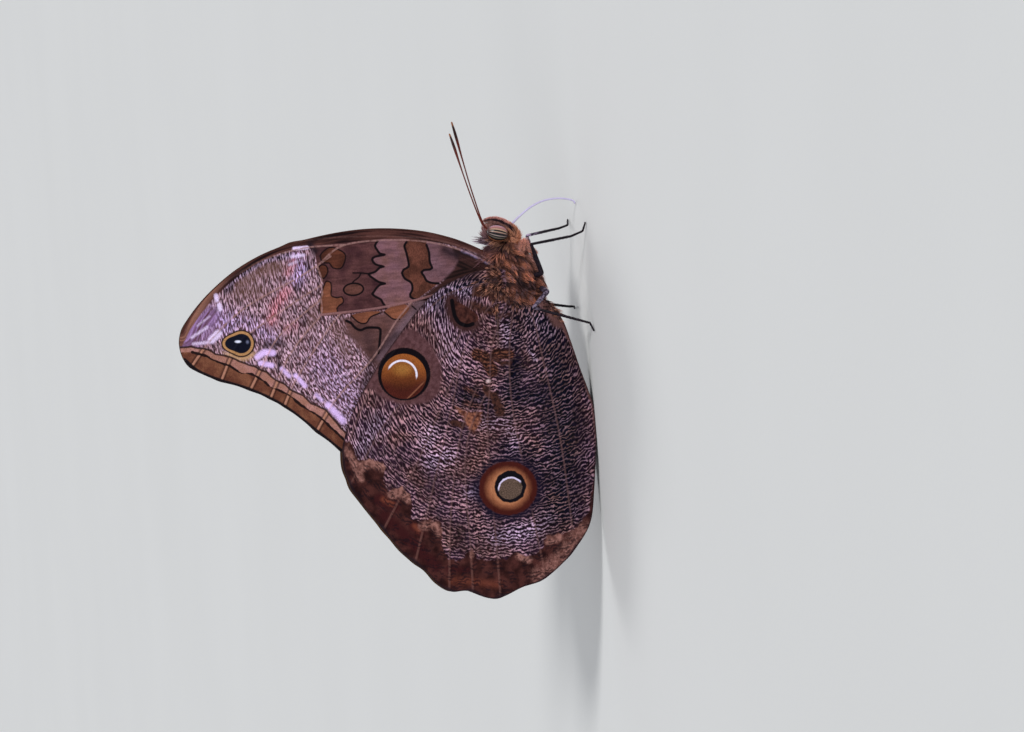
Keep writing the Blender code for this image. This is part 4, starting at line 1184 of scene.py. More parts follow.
forewing_marks = {
    "across": across,
    "along": along,
    "vein": forewing["vein"],
    "cubitus": nearest(curve_through(FOREWING_VEINS[9], 0.5), sheet)[0],
    "line": np.min([nearest(line, sheet)[0] - half for line, half in drawn], axis=0),
    "patch": np.min([outside_by(patch, sheet) for patch in closed_patches], axis=0),
    "oval": outside_by(oval[:-1], sheet),
    "pale": outside_by(PALE_ZONE, sheet),
    "base": outside_by(BASE_ZONE, sheet),
    "bar": outside_by(BAR_ZONE, sheet),
    "cell": outside_by(CELL_ZONE, sheet),
    "smooth": outside_by(SMOOTH_ZONE, sheet),
    "costa": nearest(costa_line, sheet)[0],
    "costal": outside_by(np.vstack((COSTAL_LINE, COSTA_BEYOND)), sheet),
    "root_zone": outside_by(ROOT_ZONE, sheet),
    "margin": nearest(outer_margin, sheet)[0],
    "band": outside_by(np.vstack((BAND_LINE, EDGE_BEYOND)), sheet),
    "band_middle": nearest(curve_through(BAND_MIDDLE, 0.5), sheet)[0],
    "band_outer": outside_by(np.vstack((BAND_MIDDLE, EDGE_BEYOND)), sheet),
    # Lilac-white patches of painted sheen, by the front edge and at the tip
    "light": strokes(
        sheet, (19.2, 43.9, 19.2, 41.9, 0.36, 1.0), (18.0, 44.4, 18.1, 42.5, 0.4, 0.75),
        (16.8, 44.8, 17.2, 43.6, 0.45, 0.6), (13.0, 56.4, 12.3, 56.3, 0.42, 1.0),
        (11.5, 56.0, 10.9, 55.9, 0.46, 1.0), (6.3, 57.6, 7.2, 56.5, 0.72, 1.05),
        (6.9, 60.6, 8.3, 58.1, 0.42, 0.7), (5.9, 60.4, 6.0, 57.9, 0.45, 0.7),
        (8.6, 59.6, 9.9, 57.6, 0.35, 0.6),
    ),
    "pink": strokes(
        sheet, (3.2, 50.8, 3.8, 49.7, 3.6, 48.4, 0.62, 1.0), (2.2, 50.4, 1.7, 48.7, 0.5, 1.0),
        (1.1, 47.2, -0.1, 46.2, 0.5, 0.8), (-0.1, 45.2, -1.8, 43.9, 0.5, 0.9),
        (-3.3, 42.3, -4.2, 41.5, 0.5, 0.7), (-5.0, 40.6, -7.6, 38.5, 0.7, 0.9),
    ),
    "rose": strokes(
        sheet, (17.2, 44.2, 15.6, 45.1, 0.7, 0.8), (12.7, 45.6, 10.4, 47.6, 8.6, 48.2, 0.9, 1.0),
        (7.0, 46.1, 7.6, 44.6, 0.7, 0.5),
    ),
    # Lilac streaks at the tip are painted sheen
    "apex": strokes(
        sheet, (5.6, 61.2, 8.6, 59.4, 9.8, 57.6, 1.5, 1.15), (6.6, 58.4, 7.8, 57.0, 0.9, 0.8),
    ),
    # The lilac cast of the ripple is painted sheen
    "lilac": strokes(
        sheet, (8.1, 59.6, 9.6, 57.1, 8.4, 55.0, 1.7, 1.0), (17.8, 43.8, 16.0, 43.0, 14.4, 43.8, 1.1, 1.0),
        (10.0, 55.4, 7.4, 50.1, 5.9, 48.6, 1.4, 0.6), (1.0, 40.5, -6.0, 36.5, 3.0, 0.5),
    ),
    # Dark smudges of the pattern, and a painted shadow along the front edge of the hindwing
    "dusk": strokes(
        sheet, (19.6, 41.4, 18.5, 40.7, 0.55, 1.0), (17.1, 42.0, 15.8, 41.7, 0.35, 0.8),
        (13.4, 54.8, 13.9, 53.8, 0.4, 0.7), (4.7, 49.6, 5.0, 47.2, 0.7, 0.75),
        (3.1, 47.8, 1.4, 47.6, 0.45, 0.8), (13.9, 43.2, 13.0, 43.9, 0.5, 0.6),
        (16.2, 19.2, 17.2, 20.9, 0.7, 0.9), (-2.8, 35.0, 1.4, 33.4, 5.0, 29.4, 0.6, 0.65),
        (9.6, 42.8, 7.6, 43.6, 0.7, 0.5), (7.6, 24.4, 9.6, 21.4, 1.1, 0.5),
        (5.4, 33.8, 2.8, 33.4, 1.0, 0.5),
    ),
    "brown": strokes(
        sheet, (14.6, 52.5, 16.3, 49.4, 16.8, 46.9, 1.5, 1.0), (13.3, 53.0, 13.4, 49.8, 1.2, 0.8),
        (6.2, 38.2, 3.0, 37.4, 1.3, 0.6), (10.0, 41.3, 7.5, 42.2, 0.8, 0.6),
    ),
    "beaded": strokes(sheet, (18.2, 45.0, 17.7, 48.5, 16.4, 51.2, 15.0, 53.6, 13.9, 54.6, 0.5, 1.0)),
    "fold": strokes(sheet, (9.6, 24.8, 5.6, 28.6, 1.6, 32.0, 0.8, 0.9)),
    "glint": strokes(sheet, (16.9, 18.3, 15.9, 16.5, 14.7, 14.7, 0.17, 1.0)),
}
FOREWING_SPOT = (5.4, 53.1)


def forewing_paint():
    where = in_mm()
    grain = scale_grain(where)
    broad = mottle(where, 0.35, 2.0, 0.25)
    stroke, beads = rippled(0.5, 0.8, 0.46, 0.9)
    # Painted sheen turns the ripple lilac
    dark = tinted("lilac", (0.085, 0.04, 0.046), (0.115, 0.058, 0.088))
    pale = layered(
        tinted(broad, (0.42, 0.255, 0.3), (0.52, 0.345, 0.43)),
        ("lilac", (0.56, 0.41, 0.72)),
        ("rose", (0.6, 0.27, 0.33)),
    )
    dark = layered(dark, ("rose", (0.2, 0.055, 0.065)), ("beaded", (0.01, 0.005, 0.009)))
    pale = tinted(times("beaded", 0.6), pale, (0.36, 0.27, 0.42))
    smooth = fade("smooth", 0.5, -0.9)
    cell = fade("cell", 0.12, -0.12)
    pale_zone = fade("pale", 0.08, -0.08)
    base_zone = fade("base", 0.1, -0.1)
    colour = layered(
        scaled(tinted(stroke, dark, pale), beads),
        (times(minus("brown", "beaded"), 0.7), tinted(grain, (0.085, 0.04, 0.028), (0.19, 0.1, 0.075))),
        # lilac streaks of painted sheen at the tip
        ("apex", tinted(streaks(where, "costa", 0.5), (0.11, 0.044, 0.066), (0.36, 0.215, 0.46))),
        (smooth, tinted(broad, (0.092, 0.04, 0.034), (0.134, 0.064, 0.061))),
        ("fold", tinted(grain, (0.17, 0.1, 0.12), (0.25, 0.16, 0.19))),
        (cell, tinted(broad, (0.038, 0.013, 0.017), (0.12, 0.048, 0.046))),
        (pale_zone, tinted(broad, (0.17, 0.08, 0.074), (0.195, 0.095, 0.118))),
        (base_zone, tinted(broad, (0.13, 0.062, 0.068), (0.185, 0.098, 0.12))),
    )
    bar_tone = tinted(grain, (0.07, 0.023, 0.016), (0.13, 0.047, 0.03))
    bar_tone = scaled(bar_tone, fade(mottle(where, 0.7, 3.0), 0.35, 0.65, 0.7, 1.35))
    towards_back = fade(from_spot(where, FOREWING_SPOT)[1], 11.5, 6.5)
    rust = tinted(towards_back, tinted(broad, (0.045, 0.014, 0.009), (0.125, 0.04, 0.023)),
                  tinted(broad, (0.13, 0.044, 0.026), (0.245, 0.088, 0.046)))
    root_tone = tinted(streaks(where, "vein", 0.5), (0.009, 0.004, 0.004), (0.05, 0.02, 0.018))
    colour = layered(
        colour,
        (fade("bar", 0.08, -0.08), bar_tone),
        (fade("patch", 0.06, -0.06), rust),
        (fade("oval", 0.06, -0.06), (0.11, 0.044, 0.034)),
        (fade("root_zone", 0.3, -0.3), root_tone),
    )
    tip = fade(from_spot(where, FOREWING_SPOT)[0], -5.0, -1.0, 1.0, 0.0)
    strip_streak = streaks(where, "costa", 0.42)
    strip = tinted(strip_streak, (0.009, 0.003, 0.004), (0.088, 0.033, 0.027))
    strip = tinted(tip, strip, tinted(strip_streak, (0.085, 0.03, 0.026), (0.27, 0.125, 0.085)))
    colour = layered(
        colour,
        (fade("costal", 0.16, -0.1), strip),
        (fade("costa", 0.35, 0.1), (0.06, 0.022, 0.015)),
    )
    fibres = mottle(stretched(where, (1.6, 1.0, 0.35)), 1.5, 3.0, 0.22)
    flat_share = maths("MAXIMUM", cell, maths("MAXIMUM", pale_zone, maths("MAXIMUM", base_zone, smooth)))
    colour = scaled(colour, times_plus(minus(fibres, 0.5), times(flat_share, 0.45), 1.0))
    colour = layered(
        colour,
        # dark smudges, and the painted shadow along the hindwing's front edge
        ("dusk", (0.018, 0.009, 0.013)),
        (fade("line", 0.07, -0.06), (0.005, 0.0025, 0.004)),
    )
    rough = times(grain, 0.35)
    # Lilac-white patches of painted sheen, then the pale spots along the band
    colour = layered(
        colour,
        (fade(plus("light", rough), 0.45, 1.1), (0.8, 0.66, 0.93)),
        (fade(plus("pink", rough), 0.42, 1.1), (0.76, 0.55, 0.95)),
    )
    vein_colour = tinted("pink", (0.34, 0.19, 0.17), (0.74, 0.45, 0.6))
    dots = fade(mottle(where, 1.6), 0.35, 0.55, 0.25, 0.75)
    vein_line = times(fade("vein", 0.2, 0.07), times(fade("costal", -0.3, 0.3, 0.15, 1.0), dots))
    colour = layered(
        colour,
        (vein_line, vein_colour),
        (times(fade("cubitus", 0.26, 0.1), 0.8), (0.24, 0.115, 0.115)),
        (times("glint", times(dots, 0.8)), (0.32, 0.27, 0.46)),
    )

    # The spot draws out to a point towards the tip of the wing
    across, up, size = from_spot(where, FOREWING_SPOT)
    point = maths("MAXIMUM", maths("DIVIDE", times(across, -1.0), size), 0.0)
    reach = times_plus(maths("POWER", point, 6.0), -1.0, size)
    below = times(fade(up, -0.9, -1.8), fade(reach, 3.1, 2.2))
    colour = layered(
        colour,
        (below, tinted(grain, (0.4, 0.22, 0.11), (0.6, 0.38, 0.21))),
        (fade(reach, 2.2, 2.0), (0.018, 0.009, 0.01)),
        (fade(reach, 1.95, 1.8), tinted(grain, (0.38, 0.19, 0.075), (0.52, 0.29, 0.12))),
        (fade(reach, 1.56, 1.42), (0.004, 0.005, 0.014)),
    )
    glint = from_spot(where, (FOREWING_SPOT[0] + 0.33, FOREWING_SPOT[1] + 0.5), (0.55, 0.24))[2]
    colour = tinted(fade(glint, 1.2, 0.4), colour, (0.74, 0.8, 0.96))
    glint = from_spot(where, (FOREWING_SPOT[0] + 0.15, FOREWING_SPOT[1] - 0.95), (0.3, 0.35))[2]
    colour = tinted(fade(glint, 1.2, 0.2, 0.0, 0.5), colour, (0.24, 0.27, 0.42))

    # The outer margin is a brown band with three dark scalloped lines, crossed by the pale veins
    sway = times_plus(mottle(where, 0.9), 0.5, -0.25)
    inner_band = tinted(grain, (0.25, 0.108, 0.092), (0.55, 0.28, 0.235))
    outer_band = tinted(grain, (0.08, 0.025, 0.016), (0.16, 0.055, 0.031))
    banded = layered(
        tinted(fade("band_outer", 0.1, -0.1), inner_band, outer_band),
        (fade(mottle(where, 0.6), 0.35, 0.65, 0.0, 0.5), (0.27, 0.115, 0.06)),
        (fade("vein", 0.6, 0.3, 0.0, 0.7), (0.035, 0.012, 0.009)),
        (fade("vein", 0.25, 0.1), (0.42, 0.2, 0.13)),
        (fade(maths("ABSOLUTE", plus("band_middle", sway)), 0.22, 0.1), (0.014, 0.006, 0.006)),
        (fade("margin", 0.5, 0.3), (0.008, 0.005, 0.007)),
    )
    colour = tinted(fade("band", 0.05, -0.05), colour, banded)
    edge_line = maths("ABSOLUTE", times_plus(sway, 0.4, "band"))
    colour = tinted(fade(edge_line, 0.2, 0.1, 0.0, 0.9), colour, (0.022, 0.01, 0.008))
    colour = scaled(stretched(colour, (0.99, 0.95, 0.99)), fade(grain, 0.25, 0.75, 0.76, 1.24))
    return colour, fade(grain, 0.3, 0.7, 0.75, 0.55), grain, 0.03


def dorsal_paint():
    """The upper sides, hidden between the closed wings: dark brown with an orange cast outwards."""
    where = in_mm()
    grain = scale_grain(where)
    broad = mottle(where, 0.12, 2.0, 0.2)
    colour = tinted(broad, (0.035, 0.018, 0.013), (0.08, 0.036, 0.016))
    return scaled(colour, fade(grain, 0.3, 0.7, 0.8, 1.2)), 0.7, grain, 0.03


forewing_finish = finish_of("forewing_scales", forewing_paint, Specular_IOR_Level=0.06)
dorsal_finish = finish_of("dorsal_scales", dorsal_paint, Specular_IOR_Level=0.12)
for side in ("left", "right"):
    made = wing_piece(f"forewing_{side}_membrane", forewing, forewing_marks, side == "right",
                      forewing_finish, dorsal_finish)
    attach(made, "root")
    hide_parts(f"forewing_{side}")


# The hindwing covers the rest: a dark blue and brown ground under cream ripples, a large gold
# eyespot, a smaller ringed one, and a toothed brown margin. Its root carries a rust crescent.
HINDWING = line(
    12.6, 10.6, 13.8, 13.0, 13.7, 15.8, 13.1, 18.4, 11.4, 22.3, 8.3, 26.0, 5.3, 28.7, 1.5, 31.9,
    -2.8, 35.0, -6.5, 37.2, -9.6, 38.5, -12.0, 39.2, -14.8, 39.1, -18.2, 38.1, -21.8, 35.9, -25.4, 33.3,
    -28.4, 31.2, -31.2, 28.1, -33.6, 26.2, -34.9, 24.1, -35.1, 21.3, -36.5, 18.2, -36.2, 15.8, -35.2, 13.2,
    -34.4, 10.2, -32.3, 7.0, -28.6, 3.4, -25.6, 1.7, -21.2, 0.9, -16.4, 0.4, -12.8, 0.0, -8.6, 0.0,
    -5.6, 0.7, -2.6, 1.6, 1.6, 2.7, 5.0, 3.7, 7.6, 5.3, 9.8, 7.4)
HINDWING_VEINS = (
    line(11.8, 11.8, 11.2, 18.4, 9.0, 23.4, 1.9, 30.2, -5.4, 35.4, -12.0, 38.4, -15.2, 40.0),
    line(11.4, 16.9, 7.5, 17.9, 3.4, 20.3, -1.9, 25.0, -7.6, 31.4, -12.4, 35.0, -18.4, 39.0),
    line(9.9, 12.6, 7.3, 15.5, 2.9, 18.6, -4.5, 22.3, -15.9, 28.4, -25.6, 34.4),
    line(2.9, 18.6, -1.2, 20.3, -5.7, 21.5, -13.2, 23.9, -20.7, 26.3, -30.8, 29.6),
    line(-4.4, 17.9, -10.4, 20.6, -17.9, 22.4, -25.4, 23.6, -36.0, 24.6),
    line(-5.3, 16.5, -9.8, 19.0, -14.3, 20.3, -19.6, 20.7, -28.8, 20.7, -36.6, 20.9),
    line(9.4, 11.7, 2.4, 14.8, -4.4, 15.8, -10.0, 16.6, -16.9, 16.8, -28.0, 16.7, -37.6, 16.7),
    line(9.0, 10.9, 2.1, 12.2, -6.4, 12.6, -16.5, 11.6, -27.0, 10.4, -35.6, 9.2),
    line(8.6, 9.4, 4.8, 8.2, 0.8, 7.6, -10.1, 6.0, -19.4, 5.2, -31.6, 4.6),
)
HINDWING_ROOT = np.array((12.4, 0.0, 12.4))
HINDWING_UNWRAP_START, HINDWING_UNWRAP_SIZE = (-38, 0), (53, 64)
HINDWING_RIPPLE_CENTRE = np.array((9.3, 13.2))
HALO = line(
    5.4, 28.3, 5.4, 26.7, 3.7, 24.9, 1.8, 23.8, 0.2, 23.1, -1.8, 23.0, -4.1, 23.5, -5.5, 24.8, -5.9, 26.7,
    -5.9, 28.8, -5.3, 30.9, -4.2, 32.7, -2.9, 34.1, -2.8, 35.0, 2.4, 31.1)
CRESCENT_LINE = line(9.4, 20.5, 8.1, 20.4, 6.9, 20.2, 5.9, 19.6, 5.4, 18.5, 5.6, 17.6)
CRESCENT_FILL = np.vstack((CRESCENT_LINE, line(6.5, 16.6, 8.2, 18.2, 9.3, 20.0)))
TRIANGLE = line(-6.8, 21.3, -7.8, 19.3, -8.0, 17.3, -9.5, 17.7, -11.1, 18.9, -9.9, 19.7, -8.3, 20.3)
TOOTHED_LINE = line(
    -10.6, 38.3, -11.9, 37.3, -14.0, 36.9, -13.8, 35.9, -13.8, 34.7, -14.5, 32.8, -17.4, 33.0, -18.7, 32.6,
    -18.4, 31.7, -18.4, 30.4, -19.7, 29.2, -23.2, 29.3, -23.8, 28.1, -23.6, 26.3, -24.1, 24.8, -27.7, 24.9,
    -29.6, 24.3, -30.2, 23.1, -30.0, 21.9, -28.5, 20.5, -30.0, 19.9, -30.6, 18.4, -30.5, 15.3, -29.8, 13.7,
    -30.5, 11.5, -29.4, 9.7, -27.6, 8.9, -27.3, 6.6, -27.0, 4.7, -25.9, 3.4, -24.5, 2.2, -20.0, 0.9)
MARGIN_BEYOND = line(-20.0, -9.0, -50.0, -9.0, -50.0, 50.0, -10.6, 50.0)
GOLD_SPOT, GOLD_DISC = (-1.21, 28.72), (-1.55, 28.8)
RINGED_SPOT, RINGED_PUPIL, RINGED_CORE = (-19.85, 14.2), (-19.65, 13.85), (-19.9, 13.85)

hindwing = wing_plan(HINDWING, HINDWING_VEINS, hindwing_side)
sheet = hindwing["outer"]
across, along = ripple_place(sheet, HINDWING_RIPPLE_CENTRE)
hind_edge = curve_through(HINDWING, 0.5, closed=True)
hindwing_marks = {
    "across": across,
    "along": along,
    "vein": hindwing["vein"],
    "margin": nearest(np.vstack([hind_edge, hind_edge[:1]]), sheet)[0],
    "halo": outside_by(curve_through(HALO, 0.5, closed=True), sheet),
    "crescent": nearest(curve_through(CRESCENT_LINE, 0.4), sheet)[0],
    "crescent_fill": outside_by(curve_through(CRESCENT_FILL, 0.4, closed=True), sheet),
    "teeth": outside_by(np.vstack((TOOTHED_LINE, MARGIN_BEYOND)), sheet),
    "triangle": outside_by(TRIANGLE, sheet),
    "hair_line": nearest(line(8.2, 13.6, 5.0, 13.8, 1.8, 14.0), sheet)[0],
    "navy": strokes(
        sheet, (8.0, 8.0, 0.6, 5.4, -7.2, 5.0, -14.6, 5.8, -18.5, 5.6, -23.5, 6.6, 4.8, 1.0),
        (6.0, 11.4, 2.4, 11.2, 2.2, 0.9), (9.0, 22.0, 11.6, 19.4, 11.4, 16.0, 1.8, 1.0),
        (-5.6, 19.6, -6.6, 15.6, -8.0, 12.0, 1.9, 0.9), (-14.0, 13.6, -14.6, 10.0, -20.0, 8.4, 2.2, 0.85),
        (-4.0, 26.0, -8.5, 26.0, -10.0, 22.0, 2.0, 0.35), (-24.5, 14.0, -26.0, 22.0, 2.4, 0.35),
        (-1.0, 11.6, -5.6, 12.6, -6.6, 8.0, 1.9, 1.0),
    ),
    "shade": strokes(
        sheet, (-19.0, 3.4, -22.6, 4.2, 2.6, 0.5), (-0.4, 11.4, -5.4, 11.8, -6.0, 7.2, 2.2, 0.58),
        (-9.6, 3.0, -13.0, 3.0, 2.0, 0.62), (-5.0, 33.8, -9.3, 34.3, 2.4, 0.25),
        (5.4, 24.4, 3.6, 22.4, 2.0, 0.3), (-3.8, 21.6, -5.5, 18.4, 2.2, 0.45),
        (-6.6, 7.6, -11.0, 6.6, 2.2, 0.56), (-19.6, 7.6, -21.2, 4.0, 2.2, 0.45),
        (-12.6, 31.4, -17.4, 29.6, -18.4, 26.2, 2.8, 0.46),
        (-22.6, 25.6, -24.6, 22.6, -28.6, 21.6, -28.6, 16.0, 2.2, 0.52),
    ) - strokes(
        sheet, (-9.6, 28.0, -10.4, 25.0, 1.8, 0.3), (-18.6, 23.0, -20.0, 21.6, 1.5, 0.45),
        (-12.4, 12.8, -15.2, 12.8, 1.6, 0.3),
    ),
    # Lilac patches of painted sheen on the pale ripple
    "light": strokes(
        sheet, (-27.3, 16.4, -26.9, 13.4, -26.3, 10.0, -25.0, 8.2, 1.5, 0.75),
        (-14.9, 25.6, -14.2, 23.2, 1.6, 0.7), (-20.0, 19.8, -19.7, 18.0, 1.1, 0.9),
        (-12.3, 26.1, -10.1, 25.2, 1.3, 0.6), (-8.0, 33.2, -12.0, 36.2, 1.6, 0.6),
        (9.4, 22.0, 6.4, 22.4, 0.8, 21.2, 1.8, 0.4), (-9.6, 16.8, -9.8, 13.4, -14.0, 12.6, 1.2, 0.5),
        (5.4, 8.4, 3.2, 5.6, 1.7, 0.7), (9.0, 24.0, 11.0, 20.6, 10.8, 18.0, 1.5, 0.9),
        (5.2, 12.6, 2.6, 12.4, 1.2, 0.7), (1.0, 9.1, -0.6, 8.5, 0.5, 0.8),
    ),
    "rust": strokes(
        sheet, (0.9, 17.3, 0.2, 16.0, -1.8, 15.2, 1.0, 1.25), (0.8, 14.4, 0.5, 12.4, 0.9, 1.1),
        (-4.0, 19.5, -5.4, 17.8, 0.7, 0.6), (-6.4, 19.6, -7.2, 17.4, 0.9, 0.6),
    ),
    "fuzz": strokes(
        sheet, (-5.7, 15.2, -8.1, 14.5, 0.9, 1.1), (-4.5, 16.4, -5.3, 16.0, 0.6, 1.2),
        (-9.2, 21.8, -9.7, 20.5, 0.55, 1.2), (0.6, 15.4, -0.8, 13.6, -0.8, 12.4, 0.5, 0.8),
        (13.4, 14.0, 11.8, 13.5, 9.6, 13.9, 1.2, 1.1),
        (10.4, 16.6, 10.4, 15.0, 9.6, 12.6, 8.4, 11.0, 1.0, 1.1),
        (8.4, 17.4, 7.6, 15.6, 7.2, 14.0, 1.0, 0.85), (6.2, 13.8, 6.6, 12.0, 0.7, 0.6),
    ),
    "inner_edge": strokes(
        sheet, (9.9, 8.2, 8.4, 6.2, 5.2, 4.4, 1.5, 1.15),
        (5.2, 4.2, 0.9, 2.4, -3.0, 1.2, -7.1, 0.4, 0.55, 1.0),
        (-7.1, 0.4, -14.0, 0.1, -21.0, 0.9, 0.3, 0.7),
    ),
    "base_fur": strokes(
        sheet, (13.4, 13.6, 11.8, 13.4, 10.2, 13.0, 1.1, 1.0),
        (11.2, 15.2, 10.6, 13.6, 9.4, 11.6, 8.2, 10.0, 0.75, 1.0), (9.4, 13.6, 6.6, 14.2, 0.5, 0.7),
        (10.4, 10.4, 8.8, 7.0, 6.4, 4.6, 0.8, 1.0),
    ),
    "tan": strokes(
        sheet, (-12.1, 38.4, -13.7, 37.6, -16.6, 36.6, 0.7, 0.9),
        (-14.8, 36.4, -14.2, 34.5, -15.0, 33.2, 0.9, 1.0),
        (-19.4, 32.0, -18.8, 30.5, -20.2, 29.6, 0.9, 0.95),
        (-24.6, 27.8, -24.5, 25.9, -25.8, 25.2, 0.85, 0.85), (-28.8, 20.5, -29.8, 20.6, 0.4, 1.0),
        (-30.3, 13.4, -31.0, 11.9, 0.7, 0.9), (-28.3, 8.6, -28.0, 7.1, 0.8, 1.0),
        (-31.2, 7.0, -28.0, 3.7, 0.8, 0.7), (-33.6, 10.6, -31.0, 6.8, -27.0, 3.2, 1.8, 0.65),
    ),
    "maroon": strokes(
        sheet, (-20.0, 34.0, -21.2, 31.9, 1.0, 1.1), (-24.5, 29.2, -25.4, 28.2, 0.8, 1.1),
        (-22.4, 33.5, -26.5, 29.9, -30.8, 26.2, 1.2, 0.8), (-31.4, 24.4, -31.8, 21.3, 0.7, 0.7),
    ),
    "orange": strokes(
        sheet, (-20.0, 33.4, -20.8, 32.2, 0.45, 1.0), (-24.4, 29.0, -25.2, 28.4, 0.4, 0.9),
        (-33.2, 24.0, -33.6, 20.8, -34.4, 17.0, 0.6, 0.6),
    ),
}


def hindwing_paint():
    where = in_mm()
    grain = scale_grain(where)
    rough = times(grain, 0.5)
    broad = mottle(where, 0.3, 2.0, 0.25)
    breaks = times_plus("navy", -0.2, fade("across", 6.0, 13.0, 0.8, 0.42))
    stroke, beads = rippled(0.54, 1.05, times_plus("navy", -0.1, 0.31), breaks)
    dark = tinted("navy", tinted(broad, (0.03, 0.01, 0.011), (0.02, 0.008, 0.02)), (0.001, 0.001, 0.007))
    # The pale ripple turns lilac in the patches of painted sheen, and the navy zone dims it less there
    pale = tinted("light", tinted(broad, (0.36, 0.19, 0.18), (0.36, 0.21, 0.265)), (0.56, 0.425, 0.6))
    dimmed = times("navy", fade("light", 0.2, 0.9, 0.9, 0.2))
    pale = tinted(dimmed, pale, tinted(broad, (0.2, 0.11, 0.1), (0.15, 0.1, 0.14)))
    # Painted dappled light in broad patches over the pale ripple, with the painted shade of the shade mark
    dappled_light = fade(mottle(where, 0.26, 3.0), 0.36, 0.62, 0.56, 1.28)
    pale = scaled(pale, times(dappled_light, times_plus("shade", -1.0, 1.0)))
    colour = scaled(tinted(stroke, dark, pale), beads)

    # Rust patches, brown fuzz and an orange triangle break the ripple along the middle
    flecks = mottle(where, 1.7, 3.0, 0.2)
    rust_colour = scaled(tinted(stroke, (0.024, 0.008, 0.007), (0.135, 0.05, 0.03)), beads)
    fuzz_colour = tinted(mottle(where, 2.0, 3.0, 0.2), (0.013, 0.005, 0.006), (0.084, 0.032, 0.022))
    colour = layered(
        colour,
        (fade(plus("rust", rough), 0.5, 1.0), rust_colour),
        (fade(plus("fuzz", rough), 0.5, 1.1), fuzz_colour),
    )
    triangle = fade(times_plus(grain, 0.9, "triangle"), 0.75, 0.15)
    colour = tinted(triangle, colour, tinted(flecks, (0.055, 0.016, 0.012), (0.36, 0.14, 0.08)))
    tuft = from_spot(where, (-3.3, 15.9), (0.45, 0.35))[2]
    colour = layered(
        colour,
        (fade(plus(tuft, rough), 1.4, 0.6), (0.62, 0.47, 0.46)),
        (fade("vein", 0.2, 0.06, 0.0, 0.4), (0.17, 0.09, 0.085)),
        (fade("hair_line", 0.3, 0.16, 0.0, 0.5), (0.012, 0.007, 0.01)),
        (times(fade("hair_line", 0.14, 0.05), rough), (0.26, 0.15, 0.12)),
        (fade(plus("inner_edge", rough), 0.6, 1.1),
         tinted(grain, (0.085, 0.036, 0.032), (0.21, 0.105, 0.095))),
    )

    plain = fade(times_plus(grain, 1.0, "crescent"), 2.2, 1.0)
    colour = layered(
        colour,
        (plain, tinted(grain, (0.029, 0.011, 0.011), (0.065, 0.026, 0.025))),
        (fade("crescent_fill", 0.12, -0.12), tinted(flecks, (0.024, 0.007, 0.006), (0.082, 0.027, 0.02))),
        (fade("crescent", 0.36, 0.24), (0.003, 0.0015, 0.003)),
    )

    halo = fade(times_plus(grain, 0.8, "halo"), 0.75, 0.1)
    colour = tinted(halo, colour, tinted(flecks, (0.078, 0.031, 0.033), (0.128, 0.058, 0.062)))

    # The large spot: black ring, gold disc darkening downwards, and a white arc across its top
    across, up, disc = from_spot(where, GOLD_DISC)
    soft_ring = times_plus(grain, 0.3, minus(from_spot(where, GOLD_SPOT)[2], 0.15))
    colour = layered(
        colour,
        (fade(soft_ring, 4.5, 3.9, 0.0, 0.6), (0.12, 0.052, 0.046)),
        (fade(soft_ring, 4.12, 3.95), (0.004, 0.002, 0.004)),
    )
    gold = tinted(fade(up, -2.9, 1.8), (0.048, 0.009, 0.006), (0.21, 0.06, 0.014))
    gold_edge = tinted(fade(up, -1.8, 2.2), (0.07, 0.013, 0.008), (0.32, 0.098, 0.022))
    gold = tinted(fade(disc, 1.4, 3.3), gold, gold_edge)
    glow = from_spot(where, (GOLD_DISC[0] + 1.15, GOLD_DISC[1] + 0.1), (1.9, 1.25))[2]
    gold = tinted(fade(glow, 1.3, 0.1, 0.0, 0.8), gold, (0.37, 0.165, 0.036))
    gold = scaled(gold, fade(grain, 0.25, 0.75, 0.85, 1.15))
    colour = tinted(fade(disc, 3.5, 3.38), colour, gold)
    arc_angle = maths("ARCTAN2", up, across)
    arc_width = times(fade(arc_angle, -0.35, 0.1), fade(arc_angle, 2.85, 2.5))
    off_arc = maths("ABSOLUTE", minus(disc, fade(arc_angle, -0.4, 2.9, 1.95, 2.62)))
    arc = times(fade(minus(off_arc, times(arc_width, 0.15)), 0.06, -0.06), arc_width)
    colour = tinted(arc, colour, (0.88, 0.86, 0.98))
    scratch = times(fade("vein", 0.16, 0.06), fade(disc, 3.5, 3.3))
    colour = tinted(times(scratch, fade(up, -0.6, -1.2, 0.0, 0.6)), colour, (0.33, 0.13, 0.07))

    # The smaller spot: maroon edge, orange inside it, a wavering black ring and a speckled olive core
    rim = from_spot(where, RINGED_SPOT, (4.57, 4.2))[2]
    colour = tinted(fade(rim, 1.42, 0.98, 0.0, 0.85), colour, (0.006, 0.004, 0.016))
    rim = times_plus(mottle(where, 1.6), 0.08, rim)
    wave = times_plus(mottle(where, 1.3), 0.16, -0.08)
    pupil = from_spot(where, RINGED_PUPIL, (2.42, 2.46))[2]
    colour = layered(
        colour,
        (fade(rim, 1.06, 0.98), (0.058, 0.009, 0.006)),
        (fade(rim, 0.9, 0.64), (0.3, 0.11, 0.05)),
        (fade(rim, 0.7, 0.58, 0.0, 0.85), (0.48, 0.2, 0.092)),
        (fade(plus(pupil, wave), 1.03, 0.96), (0.004, 0.003, 0.006)),
    )
    _, up, core = from_spot(where, RINGED_CORE, (1.95, 1.72), math.radians(-20))
    core = plus(core, wave)
    olive = tinted(mottle(where, 7.0, 2.0, 0.2), (0.052, 0.036, 0.022), (0.175, 0.115, 0.085))
    colour = tinted(fade(core, 1.0, 0.92), colour, olive)
    arc = times(fade(core, 0.84, 0.9), fade(core, 1.03, 0.98))
    arc = times(arc, fade(up, 0.15, 0.6))
    colour = tinted(arc, colour, (0.72, 0.66, 0.86))

